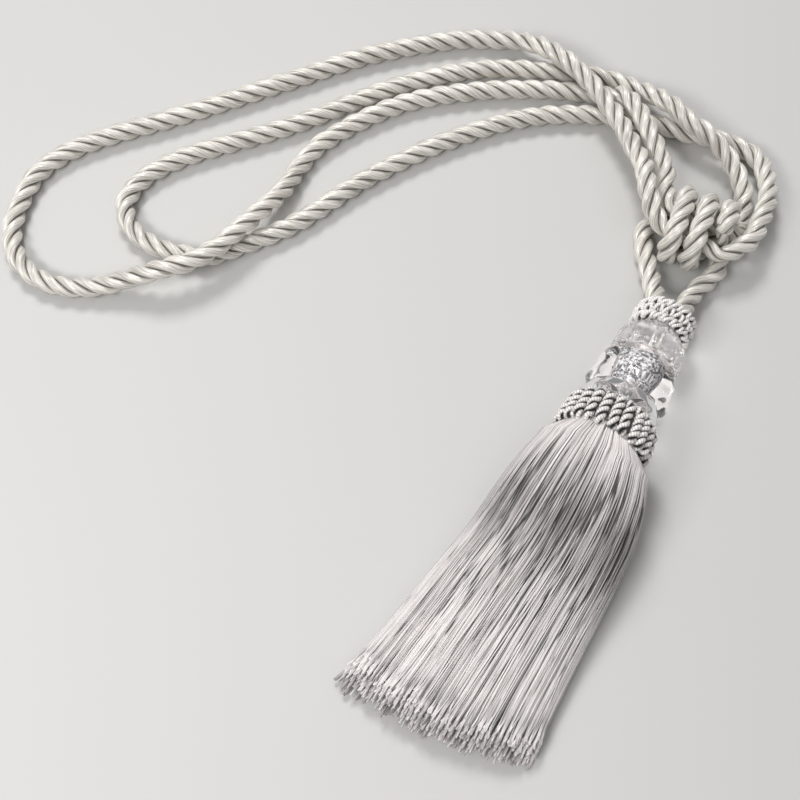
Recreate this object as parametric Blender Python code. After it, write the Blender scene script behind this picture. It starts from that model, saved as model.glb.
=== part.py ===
"""A curtain tieback: a twisted rope doubled into two loops, a knot, and a tassel with glass beads.

The tassel lies along Y on the surface z = 0, its rope end towards +Y and its cut threads towards -Y.
Sizes are in metres. Run it with: blender --background --python part.py
"""

import math
import random
from collections import namedtuple

import bmesh
import bpy
from mathutils import Matrix, Vector
from mathutils.geometry import delaunay_2d_cdt

MM = 0.001
SEAT = 0.3 * MM  # the gap that two touching pieces keep

# ---- The rope: three plies laid right-handed ------------------------------------------------------
ROPE_D = 10.0 * MM
ROPE_VALLEY_D = 5.6 * MM  # across the valleys between the plies
ROPE_PITCH = 29.0 * MM  # one whole turn of a ply
PLIES = 3
PLY_SHOULDER = math.radians(24)  # a ply's crown reaches this far each way round the rope
LOOP_RINGS_A_TURN = 6  # sections along one turn of a ply
KNOT_RINGS_A_TURN = 8
SMOOTH_STEP = 0.5 * MM  # how finely the smooth curve through a route is measured

# ---- The knot: the tassel's own cord goes round the two stretches of the rope, side by side --------
KNOT_CENTRE = Vector((-0.6, 158.0, 0.0)) * MM
KNOT_TURN = math.radians(9.0)  # its length, from X
STRETCH_APART = 12.4 * MM  # the two stretches of rope inside it, centre to centre
STRETCH_UP = 14.75 * MM
WRAP_OUT = 9.65 * MM  # a wrap's centre line, from that of the rope it goes round
WRAP_PITCH = 10.7 * MM
WRAP_LEAN = -1.4 * MM  # how far a wrap moves along the knot while it crosses the top
FIRST_WRAP = -11.0 * MM  # where the first wrap crosses the top, along the knot
WRAP_POINTS = 16  # route points in one wrap
PRESSED_LENGTH = 15.0 * MM  # the rope is pressed thinner this far each way from the knot's centre
PRESSED_EASE = 5.0 * MM  # and is its full thickness again this much further on
PRESSED_SHARE = 0.8
PRESSED_WIDTH = 11.0 * MM
TUCK_SHARE = 0.6  # where the last wrap is tucked between the two stretches
TUCK_REACH = 5.6 * MM
TUCK_PLACE = (12.3 * MM, -1.4 * MM, 15.6 * MM)  # along, across and above the knot

# ---- The tassel's head: beads and knotted trimmings on one axis, which tips down to the rope -------
HEAD_X = 5.5 * MM
HEAD_Y = 31.7 * MM  # the skirt end of the wide trimming
HEAD_UP = 23.83 * MM  # height of the axis there
HEAD_TIP = math.radians(6.3)
BIND_SIDES = 32
BIND_R = 19.7 * MM  # the threads bound together under the wide trimming
BIND_FROM, BIND_TO = -0.6 * MM, 17.3 * MM
CORE_R = 8.2 * MM
CORE_SIDES = 24
CORE_FROM, CORE_TO = 17.6 * MM, 66.0 * MM
BORE_R = CORE_R + SEAT
CORD_BORE_R = 11.3 * MM  # the recess that the cord's two ends go into
CORD_STOP = 1.5 * MM  # thickness of its floor
FACETS = 12

Ring = namedtuple("Ring", "along radius")  # a bead's radius is that of its facets' middles
UPPER_BEAD = [
    Ring(48.8 * MM, 15.6 * MM),
    Ring(51.0 * MM, 16.3 * MM),
    Ring(59.0 * MM, 15.8 * MM),
    Ring(64.1 * MM, 12.8 * MM),
]
WIDE_BEAD_SKIRT_END = Ring(26.6 * MM, 17.6 * MM)
WIDE_BEAD_BAND = (30.0 * MM, 40.0 * MM)  # its widest facets, one of which lies on the surface
WIDE_BEAD_ROPE_END = Ring(48.4 * MM, 16.4 * MM)
COLLAR_BEAD = [Ring(17.8 * MM, 17.3 * MM), Ring(22.0 * MM, 17.7 * MM), Ring(26.2 * MM, 16.9 * MM)]
TOP_KNOTS = [Ring(67.0 * MM, 13.6 * MM), Ring(72.0 * MM, 14.2 * MM), Ring(77.0 * MM, 13.6 * MM)]
TOP_KNOTS_ROUND = 12
WIDE_KNOTS = [Ring(3.0 * MM, 23.4 * MM), Ring(8.8 * MM, 22.7 * MM), Ring(14.6 * MM, 22.0 * MM)]
WIDE_KNOTS_ROUND = 26
KNOT_WIDTH = 0.55  # of the rows' pitch
KNOT_DIP = 0.945  # radius between two knots of a row, as a share of that on them
ROW_GROOVE = 2.0 * MM  # depth between two rows

# ---- The skirt ------------------------------------------------------------------------------------
ROOT_R = 19.0 * MM
COLUMNS = 25
LAYER_PITCH = 5.0 * MM  # at the roots
LOCK_GAP = 0.4 * MM
TIP_UNEVEN = 3.0 * MM
TUCKED_SHORTER = 9.0 * MM  # how much shorter the lowest locks are
SEED = 7

Section = namedtuple("Section", "y left right low top round")
# The skirt's outline: `low` and `top` are heights at its middle, `round` says how far the underside is
# still the round bundle (1) and how far it lies flat on the surface (0).
SKIRT = [
    Section(24 * MM, -19.6 * MM, 32.6 * MM, 0.5 * MM, 46.4 * MM, 1.0),
    Section(8 * MM, -24.2 * MM, 39.0 * MM, 0.0 * MM, 42.0 * MM, 0.5),
    Section(-22 * MM, -27.4 * MM, 41.6 * MM, 0.0 * MM, 32.0 * MM, 0.12),
    Section(-62 * MM, -34.4 * MM, 41.4 * MM, 0.0 * MM, 23.0 * MM, 0.0),
    Section(-110 * MM, -43.9 * MM, 43.9 * MM, 0.0 * MM, 14.0 * MM, 0.0),
]
EDGE_UP = 4.0 * MM  # height of the flattened skirt's sides
CUT_Y = -110.6 * MM  # the cut end at its longest
CUT_X = -16.5 * MM  # where it is longest
CUT_BOW = 3.75  # its bow, in metres of length lost for each square metre to the side

# ---- Routes of the two cords, point by point -------------------------------------------------------
Lie = namedtuple("Lie", "x y z")  # on the surface, in millimetres
In = namedtuple("In", "along across up")  # in the knot, in millimetres

LAST_WRAP = FIRST_WRAP / MM + 2 * WRAP_PITCH / MM

ROPE_ROUTE = [
    # through the knot, out at its right end and round the inner loop
    In(-1.0, 6.2, 14.75),
    In(6.0, 6.2, 14.75),
    In(11.5, 6.2, 14.2),
    In(17.6, 8.8, 10.2),
    In(19.8, 14.2, 6.4),
    In(19.2, 20.5, 5.2),
    In(17.8, 28.0, 5.1),
    Lie(10, 195, 6),
    Lie(1, 204, 8),
    Lie(-11, 209.5, 12.5),
    Lie(-21, 211.5, 15.4),
    Lie(-31, 213.5, 15.4),
    Lie(-42, 218, 15.4),
    Lie(-53, 222, 11.5),
    Lie(-64, 224.5, 7),
    Lie(-76, 225, 5),
    Lie(-89, 222, 5),
    Lie(-103, 216, 5),
    Lie(-138, 198, 5),
    Lie(-169, 170, 5),
    Lie(-209, 116, 5),
    Lie(-249, 68, 5),
    Lie(-257, 48, 5),
    Lie(-255, 35, 5),
    Lie(-247, 27, 5),
    Lie(-236, 23.5, 5),
    Lie(-224, 24, 5),
    Lie(-213, 27, 5),
    Lie(-203, 32, 5),
    Lie(-193, 44, 5),
    Lie(-177, 67, 5),
    Lie(-158, 110, 5),
    Lie(-134, 149, 5),
    Lie(-105, 182, 5),
    Lie(-74, 201.5, 5),
    Lie(-56, 208, 5),
    Lie(-43, 212, 5),
    Lie(-29, 214.5, 5),
    Lie(-17, 218, 5),
    Lie(-5, 220, 5),
    Lie(8, 217, 6),
    Lie(17.4, 205.3, 9),
    Lie(21.9, 191.3, 13),
    # back through the knot, from its right end to its left
    In(26.2, 13.5, 15.3),
    In(25.4, 5.5, 15.7),
    In(20.0, -3.0, 15.7),
    In(13.5, -8.6, 15.2),
    In(6.0, -6.8, 14.75),
    In(-2.0, -6.2, 14.75),
    In(-10.0, -6.2, 14.75),
    In(-16.0, -4.2, 15.0),
    In(-22.4, 0.3, 17.0),
    In(-28.2, 7.5, 20.7),
    # round the outer loop
    In(-33.0, 16.8, 21.4),
    Lie(-39.4, 176.4, 18.9),
    Lie(-47, 184, 15.8),
    Lie(-63, 197, 15.4),
    Lie(-81, 208, 15.4),
    Lie(-92, 213, 15.4),
    Lie(-104, 217, 15.4),
    Lie(-117, 220, 12.6),
    Lie(-130, 221, 8),
    Lie(-143, 217, 5),
    Lie(-159, 208, 5),
    Lie(-196, 175, 5),
    Lie(-224, 140, 5),
    Lie(-264, 90, 5),
    Lie(-284, 67, 5),
    Lie(-297, 49, 5),
    Lie(-304, 30, 5),
    Lie(-302, 12, 5),
    Lie(-295, -5, 5),
    Lie(-285, -15, 5),
    Lie(-272, -19.5, 5),
    Lie(-257, -18, 5),
    Lie(-241, -10, 6),
    Lie(-227, 1, 10),
    Lie(-214, 11, 15.4),
    Lie(-204, 22, 15.4),
    Lie(-198, 34, 15.4),
    Lie(-194, 48, 15.4),
    Lie(-191, 62, 14),
    Lie(-190, 78, 9),
    Lie(-191.5, 96, 5),
    Lie(-189.5, 114, 5),
    Lie(-167, 155, 5),
    Lie(-136, 183, 5),
    Lie(-101, 204, 5),
    Lie(-86, 210, 5),
    Lie(-76, 213, 6.5),
    Lie(-67, 213, 12.6),
    Lie(-58, 208, 15.6),
    Lie(-48.5, 200, 15.6),
    Lie(-38, 190.5, 15.6),
    Lie(-28.5, 180.5, 15.4),
    # and into the knot again, where its two ends meet
    In(-21.2, 16.2, 15.0),
    In(-17.5, 9.1, 15.0),
    In(-10.0, 6.5, 14.75),
    In(-1.8, 6.2, 14.75),
]

HANGER_START = [
    Lie(0.3, 98.3, 16.4),
    Lie(0.3, 106, 15.4),
    Lie(-0.9, 112, 14),
    Lie(-4.4, 119, 10.2),
    Lie(-9.5, 127.5, 6.5),
    Lie(-15.5, 136, 5.2),
    Lie(-21.5, 144.5, 5.1),
    Lie(-24, 152, 5.1),
    In(-21.8, 3.2, 5.1),
    In(-18.0, 8.6, 5.1),
    In(-13.3, 12.8, 6.4),
]
HANGER_END = [
    # the last wrap goes round one stretch only and is tucked between the two
    In(LAST_WRAP - 0.2, 0.5, 22.8),
    In(LAST_WRAP + 0.6, -1.6, 19.35),
    In(LAST_WRAP + 2.1, -1.4, 12.75),
    In(LAST_WRAP + 3.8, -3.5, 7.5),
    In(LAST_WRAP + 4.6, -8.0, 5.1),
    In(LAST_WRAP + 4.2, -14.0, 5.1),
    Lie(12.3, 136, 5.1),
    Lie(10.8, 127, 6.3),
    Lie(10.5, 119, 10),
    Lie(10.6, 112, 13.9),
    Lie(10.7, 106, 15.4),
    Lie(10.7, 98.3, 16.4),
]


def finish(name, colour, roughness, metallic=0.0, see_through=0.0):
    """A Principled material."""
    made = bpy.data.materials.new(name)
    made.use_nodes = True
    shader = made.node_tree.nodes["Principled BSDF"]
    shader.inputs["Base Color"].default_value = (*colour, 1.0)
    shader.inputs["Roughness"].default_value = roughness
    shader.inputs["Metallic"].default_value = metallic
    shader.inputs["Transmission Weight"].default_value = see_through
    return made


def add_piece(name, mesh_data, dressed, sharp=math.radians(40)):
    """An object from a bmesh, with its faces pointing out."""
    bmesh.ops.recalc_face_normals(mesh_data, faces=mesh_data.faces)
    mesh = bpy.data.meshes.new(name)
    mesh_data.to_mesh(mesh)
    mesh_data.free()
    mesh.shade_smooth()
    mesh.set_sharp_from_angle(angle=sharp)
    mesh.materials.append(dressed)
    piece = bpy.data.objects.new(name, mesh)
    bpy.context.scene.collection.objects.link(piece)
    return piece


# ---- Cords ----------------------------------------------------------------------------------------


def knot_place(along, across, up):
    """A place in the knot's own directions, as a point of the part."""
    lengthways = Vector((math.cos(KNOT_TURN), math.sin(KNOT_TURN), 0))
    crossways = Vector((-math.sin(KNOT_TURN), math.cos(KNOT_TURN), 0))
    return KNOT_CENTRE + lengthways * along + crossways * across + Vector((0, 0, up))


def route_points(rows):
    """The route's rows as points in metres."""
    points = []
    for row in rows:
        if isinstance(row, In):
            points.append(knot_place(row.along * MM, row.across * MM, row.up * MM))
        else:
            points.append(Vector(row) * MM)
    return points


def wrap_points():
    """The wraps' centre line: round both stretches of rope twice, from the far side of the first wrap
    to the top of the third."""
    half, straight = math.pi * WRAP_OUT, STRETCH_APART / 2
    whole = 2 * half + 4 * straight
    points = []
    quarter = WRAP_POINTS // 4
    for step in range(-quarter, 2 * WRAP_POINTS + 1):
        turn = step / WRAP_POINTS
        turns_done = math.floor(turn)
        share = turn - turns_done
        gone = share * whole
        if gone < straight:
            across, up = -gone, WRAP_OUT
        elif gone < straight + half:
            angle = (gone - straight) / WRAP_OUT
            across, up = -straight - WRAP_OUT * math.sin(angle), WRAP_OUT * math.cos(angle)
        elif gone < 3 * straight + half:
            across, up = gone - 2 * straight - half, -WRAP_OUT
        elif gone < 3 * straight + 2 * half:
            angle = (gone - 3 * straight - half) / WRAP_OUT
            across, up = straight + WRAP_OUT * math.sin(angle), -WRAP_OUT * math.cos(angle)
        else:
            across, up = whole - gone, WRAP_OUT
        over_top = min(share, 0.25) + max(share - 0.75, 0.0)
        below = min(max(share - 0.25, 0.0), 0.5)
        moved = WRAP_LEAN * 2 * over_top + (WRAP_PITCH - WRAP_LEAN) * 2 * below
        along = FIRST_WRAP + WRAP_PITCH * turns_done + moved
        points.append(knot_place(along, across, STRETCH_UP + up))
    return points


def smooth_curve(points):
    """A fine smooth line through the points: a centripetal Catmull-Rom curve."""
    ends = [points[0] * 2 - points[1], *points, points[-1] * 2 - points[-2]]
    line = []
    for p0, p1, p2, p3 in zip(ends, ends[1:], ends[2:], ends[3:]):
        t1 = math.sqrt((p1 - p0).length)
        t2 = t1 + math.sqrt((p2 - p1).length)
        t3 = t2 + math.sqrt((p3 - p2).length)
        count = max(2, int((p2 - p1).length / SMOOTH_STEP))
        for k in range(count):
            t = t1 + (t2 - t1) * k / count
            a1 = p0.lerp(p1, t / t1)
            a2 = p1.lerp(p2, (t - t1) / (t2 - t1))
            a3 = p2.lerp(p3, (t - t2) / (t3 - t2))
            b1 = a1.lerp(a2, t / t2)
            b2 = a2.lerp(a3, (t - t1) / (t3 - t1))
            line.append(b1.lerp(b2, (t - t1) / (t2 - t1)))
    line.append(points[-1])
    return line


def evenly(line, step):
    """The line again, with points an equal distance of about `step` apart."""
    reached = [0.0]
    for a, b in zip(line, line[1:]):
        reached.append(reached[-1] + (b - a).length)
    count = round(reached[-1] / step)
    even, k = [], 0
    for n in range(count + 1):
        at = reached[-1] * n / count
        while k < len(line) - 2 and reached[k + 1] < at:
            k += 1
        span = reached[k + 1] - reached[k]
        even.append(line[k].lerp(line[k + 1], (at - reached[k]) / span))
    return even, reached[-1] / count


def pressed(point, tucked):
    """The rope's thickness at a point as a share of its own: less inside the knot, or near `tucked`."""
    if tucked:
        ease = min(max(((point - tucked).length - TUCK_REACH) / PRESSED_EASE, 0.0), 1.0)
        return TUCK_SHARE + (1 - TUCK_SHARE) * ease
    away = point - KNOT_CENTRE
    along = abs(away.x * math.cos(KNOT_TURN) + away.y * math.sin(KNOT_TURN))
    across = abs(away.y * math.cos(KNOT_TURN) - away.x * math.sin(KNOT_TURN))
    if across > PRESSED_WIDTH or away.z < STRETCH_UP - PRESSED_EASE:
        return 1.0
    ease = min(max((along - PRESSED_LENGTH) / PRESSED_EASE, 0.0), 1.0)
    return PRESSED_SHARE + (1 - PRESSED_SHARE) * ease


def rope_section():
    """The rope's section as (angle, reach) rows: for each ply two shoulders, then the valley after it."""
    rows = []
    for ply in range(PLIES):
        crown = 2 * math.pi * ply / PLIES
        rows.append((crown - PLY_SHOULDER, ROPE_D / 2))
        rows.append((crown + PLY_SHOULDER, ROPE_D / 2))
        rows.append((crown + math.pi / PLIES, ROPE_VALLEY_D / 2))
    return rows


def twisted_rope(name, points, rings_a_turn, dressed, tucked=None):
    """One closed solid along the points: a three-lobed section that turns with the plies, flat where it
    lies on the surface."""
    line, step = evenly(smooth_curve(points), ROPE_PITCH / rings_a_turn)
    made = bmesh.new()
    section = rope_section()
    rings = []
    side = Vector((0, 0, 1))
    for n, point in enumerate(line):
        ahead = (line[min(n + 1, len(line) - 1)] - line[max(n - 1, 0)]).normalized()
        side = (side - ahead * side.dot(ahead)).normalized()
        other = ahead.cross(side)
        turned = 2 * math.pi * n * step / ROPE_PITCH
        share = pressed(point, tucked)
        ring = []
        for angle, reach in section:
            angle += turned
            place = point + (side * math.cos(angle) + other * math.sin(angle)) * reach * share
            place.z = max(place.z, 0.0)
            ring.append(made.verts.new(place))
        rings.append(ring)
    for before, after in zip(rings, rings[1:]):
        for k in range(len(section)):
            m = (k + 1) % len(section)
            made.faces.new((before[k], before[m], after[m], after[k]))
    for ring, point in ((rings[0], line[0]), (rings[-1], line[-1])):
        middle = made.verts.new(point)
        for k in range(len(section)):
            made.faces.new((middle, ring[k], ring[(k + 1) % len(section)]))
    bmesh.ops.triangulate(made, faces=[f for f in made.faces if len(f.verts) == 4])
    return add_piece(name, made, dressed, sharp=math.radians(70))


# ---- The head -------------------------------------------------------------------------------------


def head_matrix():
    """The head's own directions: Z along its axis to the rope, Y down to the surface."""
    place = Matrix.Translation((HEAD_X, HEAD_Y, HEAD_UP))
    return place @ Matrix.Rotation(-math.radians(90) - HEAD_TIP, 4, "X")


def to_surface(along):
    """How far the surface is from the head's axis, at a distance along it."""
    return HEAD_UP / math.cos(HEAD_TIP) - along * math.tan(HEAD_TIP)


def turned_ring(profile, sides, start=0.0):
    """A bmesh turned round Z from rings that close on themselves. A ring's radius is one number, or a
    list with one for each side."""
    made = bmesh.new()
    rings = []
    for along, radius in profile:
        radii = radius if isinstance(radius, list) else [radius] * sides
        ring = []
        for k, far in enumerate(radii):
            angle = start + 2 * math.pi * k / sides
            ring.append(made.verts.new((far * math.cos(angle), far * math.sin(angle), along)))
        rings.append(ring)
    for row, ring in enumerate(rings):
        after = rings[(row + 1) % len(rings)]
        for k in range(sides):
            m = (k + 1) % sides
            made.faces.new((ring[k], ring[m], after[m], after[k]))
    return made


def faceted_bead(name, profile, dressed):
    """A bead bored for the core, with flat facets, one of them straight down."""
    corner = 1 / math.cos(math.pi / FACETS)
    bore = [Ring(profile[-1].along, BORE_R), Ring(profile[0].along, BORE_R)]
    rings = [Ring(along, radius * corner) for along, radius in profile + bore]
    first_corner = math.pi / 2 + math.pi / FACETS
    piece = add_piece(name, turned_ring(rings, FACETS, first_corner), dressed, sharp=math.radians(15))
    piece.matrix_world = head_matrix()
    return piece


def wide_bead_profile():
    """The wide bead's rings. Its widest facets slant against the head's tip, so that the lowest is level."""
    band = [Ring(along, to_surface(along)) for along in WIDE_BEAD_BAND]
    return [WIDE_BEAD_SKIRT_END, *band, WIDE_BEAD_ROPE_END]


def knotted_band(name, rows, knots, bore, dressed, stop=0.0):
    """A trimming of knotted cord on one ring, each row's knots half a knot on from the last row's.
    Where `stop` is a thickness, a floor closes the bore down to that of the core."""
    half_pitch = (rows[1].along - rows[0].along) / 2
    first, last = rows[0].along - half_pitch, rows[-1].along + half_pitch
    profile = [Ring(first, rows[0].radius - ROW_GROOVE)]
    for n, row in enumerate(rows):
        on_knot, off_knot = row.radius, row.radius * KNOT_DIP
        radii = [off_knot if (k + n) % 2 else on_knot for k in range(2 * knots)]
        profile.append(Ring(row.along - half_pitch * KNOT_WIDTH, radii))
        profile.append(Ring(row.along + half_pitch * KNOT_WIDTH, radii))
        profile.append(Ring(row.along + half_pitch, row.radius - ROW_GROOVE))
    profile.append(Ring(last, bore))
    if stop:
        profile += [Ring(first + stop, bore), Ring(first + stop, BORE_R), Ring(first, BORE_R)]
    else:
        profile.append(Ring(first, bore))
    piece = add_piece(name, turned_ring(profile, 2 * knots), dressed)
    piece.matrix_world = head_matrix()
    return piece


def core_rod(name, dressed):
    """The silvered rod that the glass beads are threaded on, seen through them."""
    made = bmesh.new()
    long = CORE_TO - CORE_FROM
    bmesh.ops.create_cone(
        made, cap_ends=True, segments=CORE_SIDES, radius1=CORE_R, radius2=CORE_R, depth=long
    )
    bmesh.ops.translate(made, vec=(0, 0, CORE_FROM + long / 2), verts=made.verts)
    piece = add_piece(name, made, dressed)
    piece.matrix_world = head_matrix()
    return piece


# ---- The skirt ------------------------------------------------------------------------------------


def skirt_place(section, sideways, upward):
    """A place in a section of the skirt: `sideways` is -1 to 1, and `upward` 0 at the underside to 1."""
    middle, half = (section.left + section.right) / 2, (section.right - section.left) / 2
    bow = math.sqrt(max(1 - sideways * sideways, 0.0))
    edge = section.round * HEAD_UP + (1 - section.round) * EDGE_UP
    top = edge + (section.top - edge) * bow
    low = section.round * (HEAD_UP - (HEAD_UP - section.low) * bow)
    return middle + half * sideways, low + (top - low) * upward


def between(a, b, share):
    """The section part of the way from one to the next."""
    return Section(*(p + (q - p) * share for p, q in zip(a, b)))


def lock_corners(section, column_width, sideways, low, high, point_up):
    """The three corners of a lock of threads in a section, as (x, z)."""
    x, z_low = skirt_place(section, sideways, low)
    _, z_high = skirt_place(section, sideways, high)
    half = (column_width * (section.right - section.left) / 2 - LOCK_GAP) / 2
    gap = min(LOCK_GAP / 2, (z_high - z_low) * 0.2)
    z_low, z_high = z_low + (gap if low > 0 else 0.0), z_high - gap
    if point_up:
        return [(x - half, z_low), (x + half, z_low), (x, z_high)]
    return [(x + half, z_high), (x - half, z_high), (x, z_low)]


def skirt_locks():
    """Each lock's triangles from its root to its tip: [(corners at the root, [rings])]."""
    chance = random.Random(SEED)
    width = 2 / COLUMNS
    locks = []
    for column in range(COLUMNS):
        sideways = -1 + width * (column + 0.5)
        chord = 2 * ROOT_R * math.sqrt(1 - sideways * sideways)
        layers = max(1, round(chord / LAYER_PITCH))
        for layer in range(layers):
            low, high = layer / layers, (layer + 1) / layers
            point_up = layer == 0 or layer == layers - 1 or (layer + column) % 2 == 0
            root_x = sideways * ROOT_R
            half = (width * ROOT_R - LOCK_GAP) / 2
            y_low = chord / 2 - chord * low - LOCK_GAP / 2
            y_high = chord / 2 - chord * high + LOCK_GAP / 2
            if point_up:
                root = [(root_x - half, y_low), (root_x + half, y_low), (root_x, y_high)]
            else:
                root = [(root_x + half, y_high), (root_x - half, y_high), (root_x, y_low)]
            rings = [
                [(x, section.y, z) for x, z in lock_corners(section, width, sideways, low, high, point_up)]
                for section in SKIRT[:-1]
            ]
            end_x, _ = skirt_place(SKIRT[-1], sideways, 0)
            tip_y = CUT_Y + CUT_BOW * (end_x - CUT_X) ** 2
            tip_y += TIP_UNEVEN * (chance.random() - 0.5) + TUCKED_SHORTER * (1 - high) ** 2
            share = (tip_y - SKIRT[-2].y) / (SKIRT[-1].y - SKIRT[-2].y)
            tip = between(SKIRT[-2], SKIRT[-1], share)
            corners = lock_corners(tip, width, sideways, low, high, point_up)
            rings.append([(x, tip.y, z) for x, z in corners])
            locks.append((root, rings))
    return locks


def skirt(name, dressed):
    """The threads in locks, fused at their roots into the bound bundle under the wide trimming."""
    to_world = head_matrix()
    to_head = to_world.inverted()
    locks = skirt_locks()
    sides = BIND_SIDES
    rim = [
        Vector((BIND_R * math.cos(2 * math.pi * k / sides), BIND_R * math.sin(2 * math.pi * k / sides)))
        for k in range(sides)
    ]
    flat = list(rim)
    edges = [(k, (k + 1) % sides) for k in range(sides)]
    for root, _ in locks:
        first = len(flat)
        flat += [Vector(corner) for corner in root]
        edges += [(first, first + 1), (first + 1, first + 2), (first + 2, first)]
    places, _, triangles, origins, _, _ = delaunay_2d_cdt(flat, edges, [], 0, 1e-7)
    number = {}
    for index, sources in enumerate(origins):
        for source in sources:
            number[source] = index
    roots = {
        frozenset(number[sides + 3 * n + k] for k in range(3)) for n in range(len(locks))
    }
    made = bmesh.new()
    face_verts = [made.verts.new((p.x, p.y, BIND_FROM)) for p in places]
    for triangle in triangles:
        if frozenset(triangle) not in roots:
            made.faces.new([face_verts[i] for i in triangle])
    top = [made.verts.new((p.x, p.y, BIND_TO)) for p in rim]
    rim_verts = [face_verts[number[k]] for k in range(sides)]
    for k in range(sides):
        m = (k + 1) % sides
        made.faces.new((rim_verts[k], rim_verts[m], top[m], top[k]))
    made.faces.new(top)
    for n, (_, rings) in enumerate(locks):
        before = [face_verts[number[sides + 3 * n + k]] for k in range(3)]
        for ring in rings:
            after = [made.verts.new(to_head @ Vector(corner)) for corner in ring]
            for k in range(3):
                m = (k + 1) % 3
                made.faces.new((before[k], before[m], after[m], after[k]))
            before = after
        made.faces.new(before)
    bmesh.ops.triangulate(made, faces=[f for f in made.faces if len(f.verts) > 3])
    piece = add_piece(name, made, dressed, sharp=math.radians(60))
    piece.matrix_world = to_world
    return piece


def main():
    for old in list(bpy.data.objects):
        bpy.data.objects.remove(old, do_unlink=True)
    yarn = finish("silver_grey_yarn", (0.62, 0.60, 0.57), 0.38)
    trimming = finish("silver_trimming", (0.66, 0.64, 0.62), 0.35)
    threads = finish("silky_threads", (0.60, 0.58, 0.57), 0.32)
    glass = finish("clear_glass", (0.93, 0.91, 0.92), 0.05, see_through=1.0)
    foil = finish("silver_foil", (0.75, 0.74, 0.76), 0.22, metallic=1.0)

    twisted_rope("loop_rope", route_points(ROPE_ROUTE), LOOP_RINGS_A_TURN, yarn)
    hanger = route_points(HANGER_START) + wrap_points() + route_points(HANGER_END)
    twisted_rope("hanger_cord", hanger, KNOT_RINGS_A_TURN, yarn, tucked=knot_place(*TUCK_PLACE))

    core_rod("bead_core", foil)
    knotted_band("top_trimming", TOP_KNOTS, TOP_KNOTS_ROUND, CORD_BORE_R, trimming, CORD_STOP)
    faceted_bead("upper_bead", UPPER_BEAD, glass)
    faceted_bead("wide_bead", wide_bead_profile(), glass)
    faceted_bead("collar_bead", COLLAR_BEAD, glass)
    knotted_band("wide_trimming", WIDE_KNOTS, WIDE_KNOTS_ROUND, BIND_R + SEAT, trimming)
    skirt("skirt", threads)


main()
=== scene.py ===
"""The looks of a curtain tieback: a twisted silver-grey rope in two loops, its knot, and a tassel with
clear cut beads, two knotted trimmings and a skirt of silky threads.

Sizes are in metres. X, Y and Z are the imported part's own directions, with the surface at z = 0.
"""

from __future__ import annotations

import logging
import math
from dataclasses import dataclass, field
from enum import Enum

import bmesh
import bpy
import numpy as np
from mathutils import Matrix, Vector

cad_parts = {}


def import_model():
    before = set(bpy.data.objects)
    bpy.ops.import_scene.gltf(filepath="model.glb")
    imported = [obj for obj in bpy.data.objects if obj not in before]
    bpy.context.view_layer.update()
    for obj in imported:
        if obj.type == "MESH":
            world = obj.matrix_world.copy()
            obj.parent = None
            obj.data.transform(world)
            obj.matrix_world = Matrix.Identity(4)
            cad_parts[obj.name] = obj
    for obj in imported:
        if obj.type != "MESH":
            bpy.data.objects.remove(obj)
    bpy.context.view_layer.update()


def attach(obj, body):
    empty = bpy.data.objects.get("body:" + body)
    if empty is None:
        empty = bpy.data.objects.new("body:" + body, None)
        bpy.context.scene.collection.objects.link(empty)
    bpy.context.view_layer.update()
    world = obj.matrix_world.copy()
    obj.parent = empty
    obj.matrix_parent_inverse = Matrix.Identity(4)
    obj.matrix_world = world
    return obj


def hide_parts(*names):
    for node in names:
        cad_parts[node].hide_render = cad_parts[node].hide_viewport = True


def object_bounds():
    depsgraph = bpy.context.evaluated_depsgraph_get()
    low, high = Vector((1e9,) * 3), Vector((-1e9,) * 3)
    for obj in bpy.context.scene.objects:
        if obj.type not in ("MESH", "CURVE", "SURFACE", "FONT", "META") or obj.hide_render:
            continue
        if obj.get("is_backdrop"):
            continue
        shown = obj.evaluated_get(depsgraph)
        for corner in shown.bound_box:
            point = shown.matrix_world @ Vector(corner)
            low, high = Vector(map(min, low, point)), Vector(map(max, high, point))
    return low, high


LOG = logging.getLogger("tieback")
MM = 0.001
BODY = "root"
Colour = tuple[float, float, float]


class Slot(Enum):
    """The record's material slots."""

    ROPE = "rope_yarn"
    TRIMMING = "trimming_cord"
    GLASS = "clear_bead"
    FOIL = "silver_core"
    THREAD = "skirt_thread"


# ---- Finishes -------------------------------------------------------------------------------------


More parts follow.
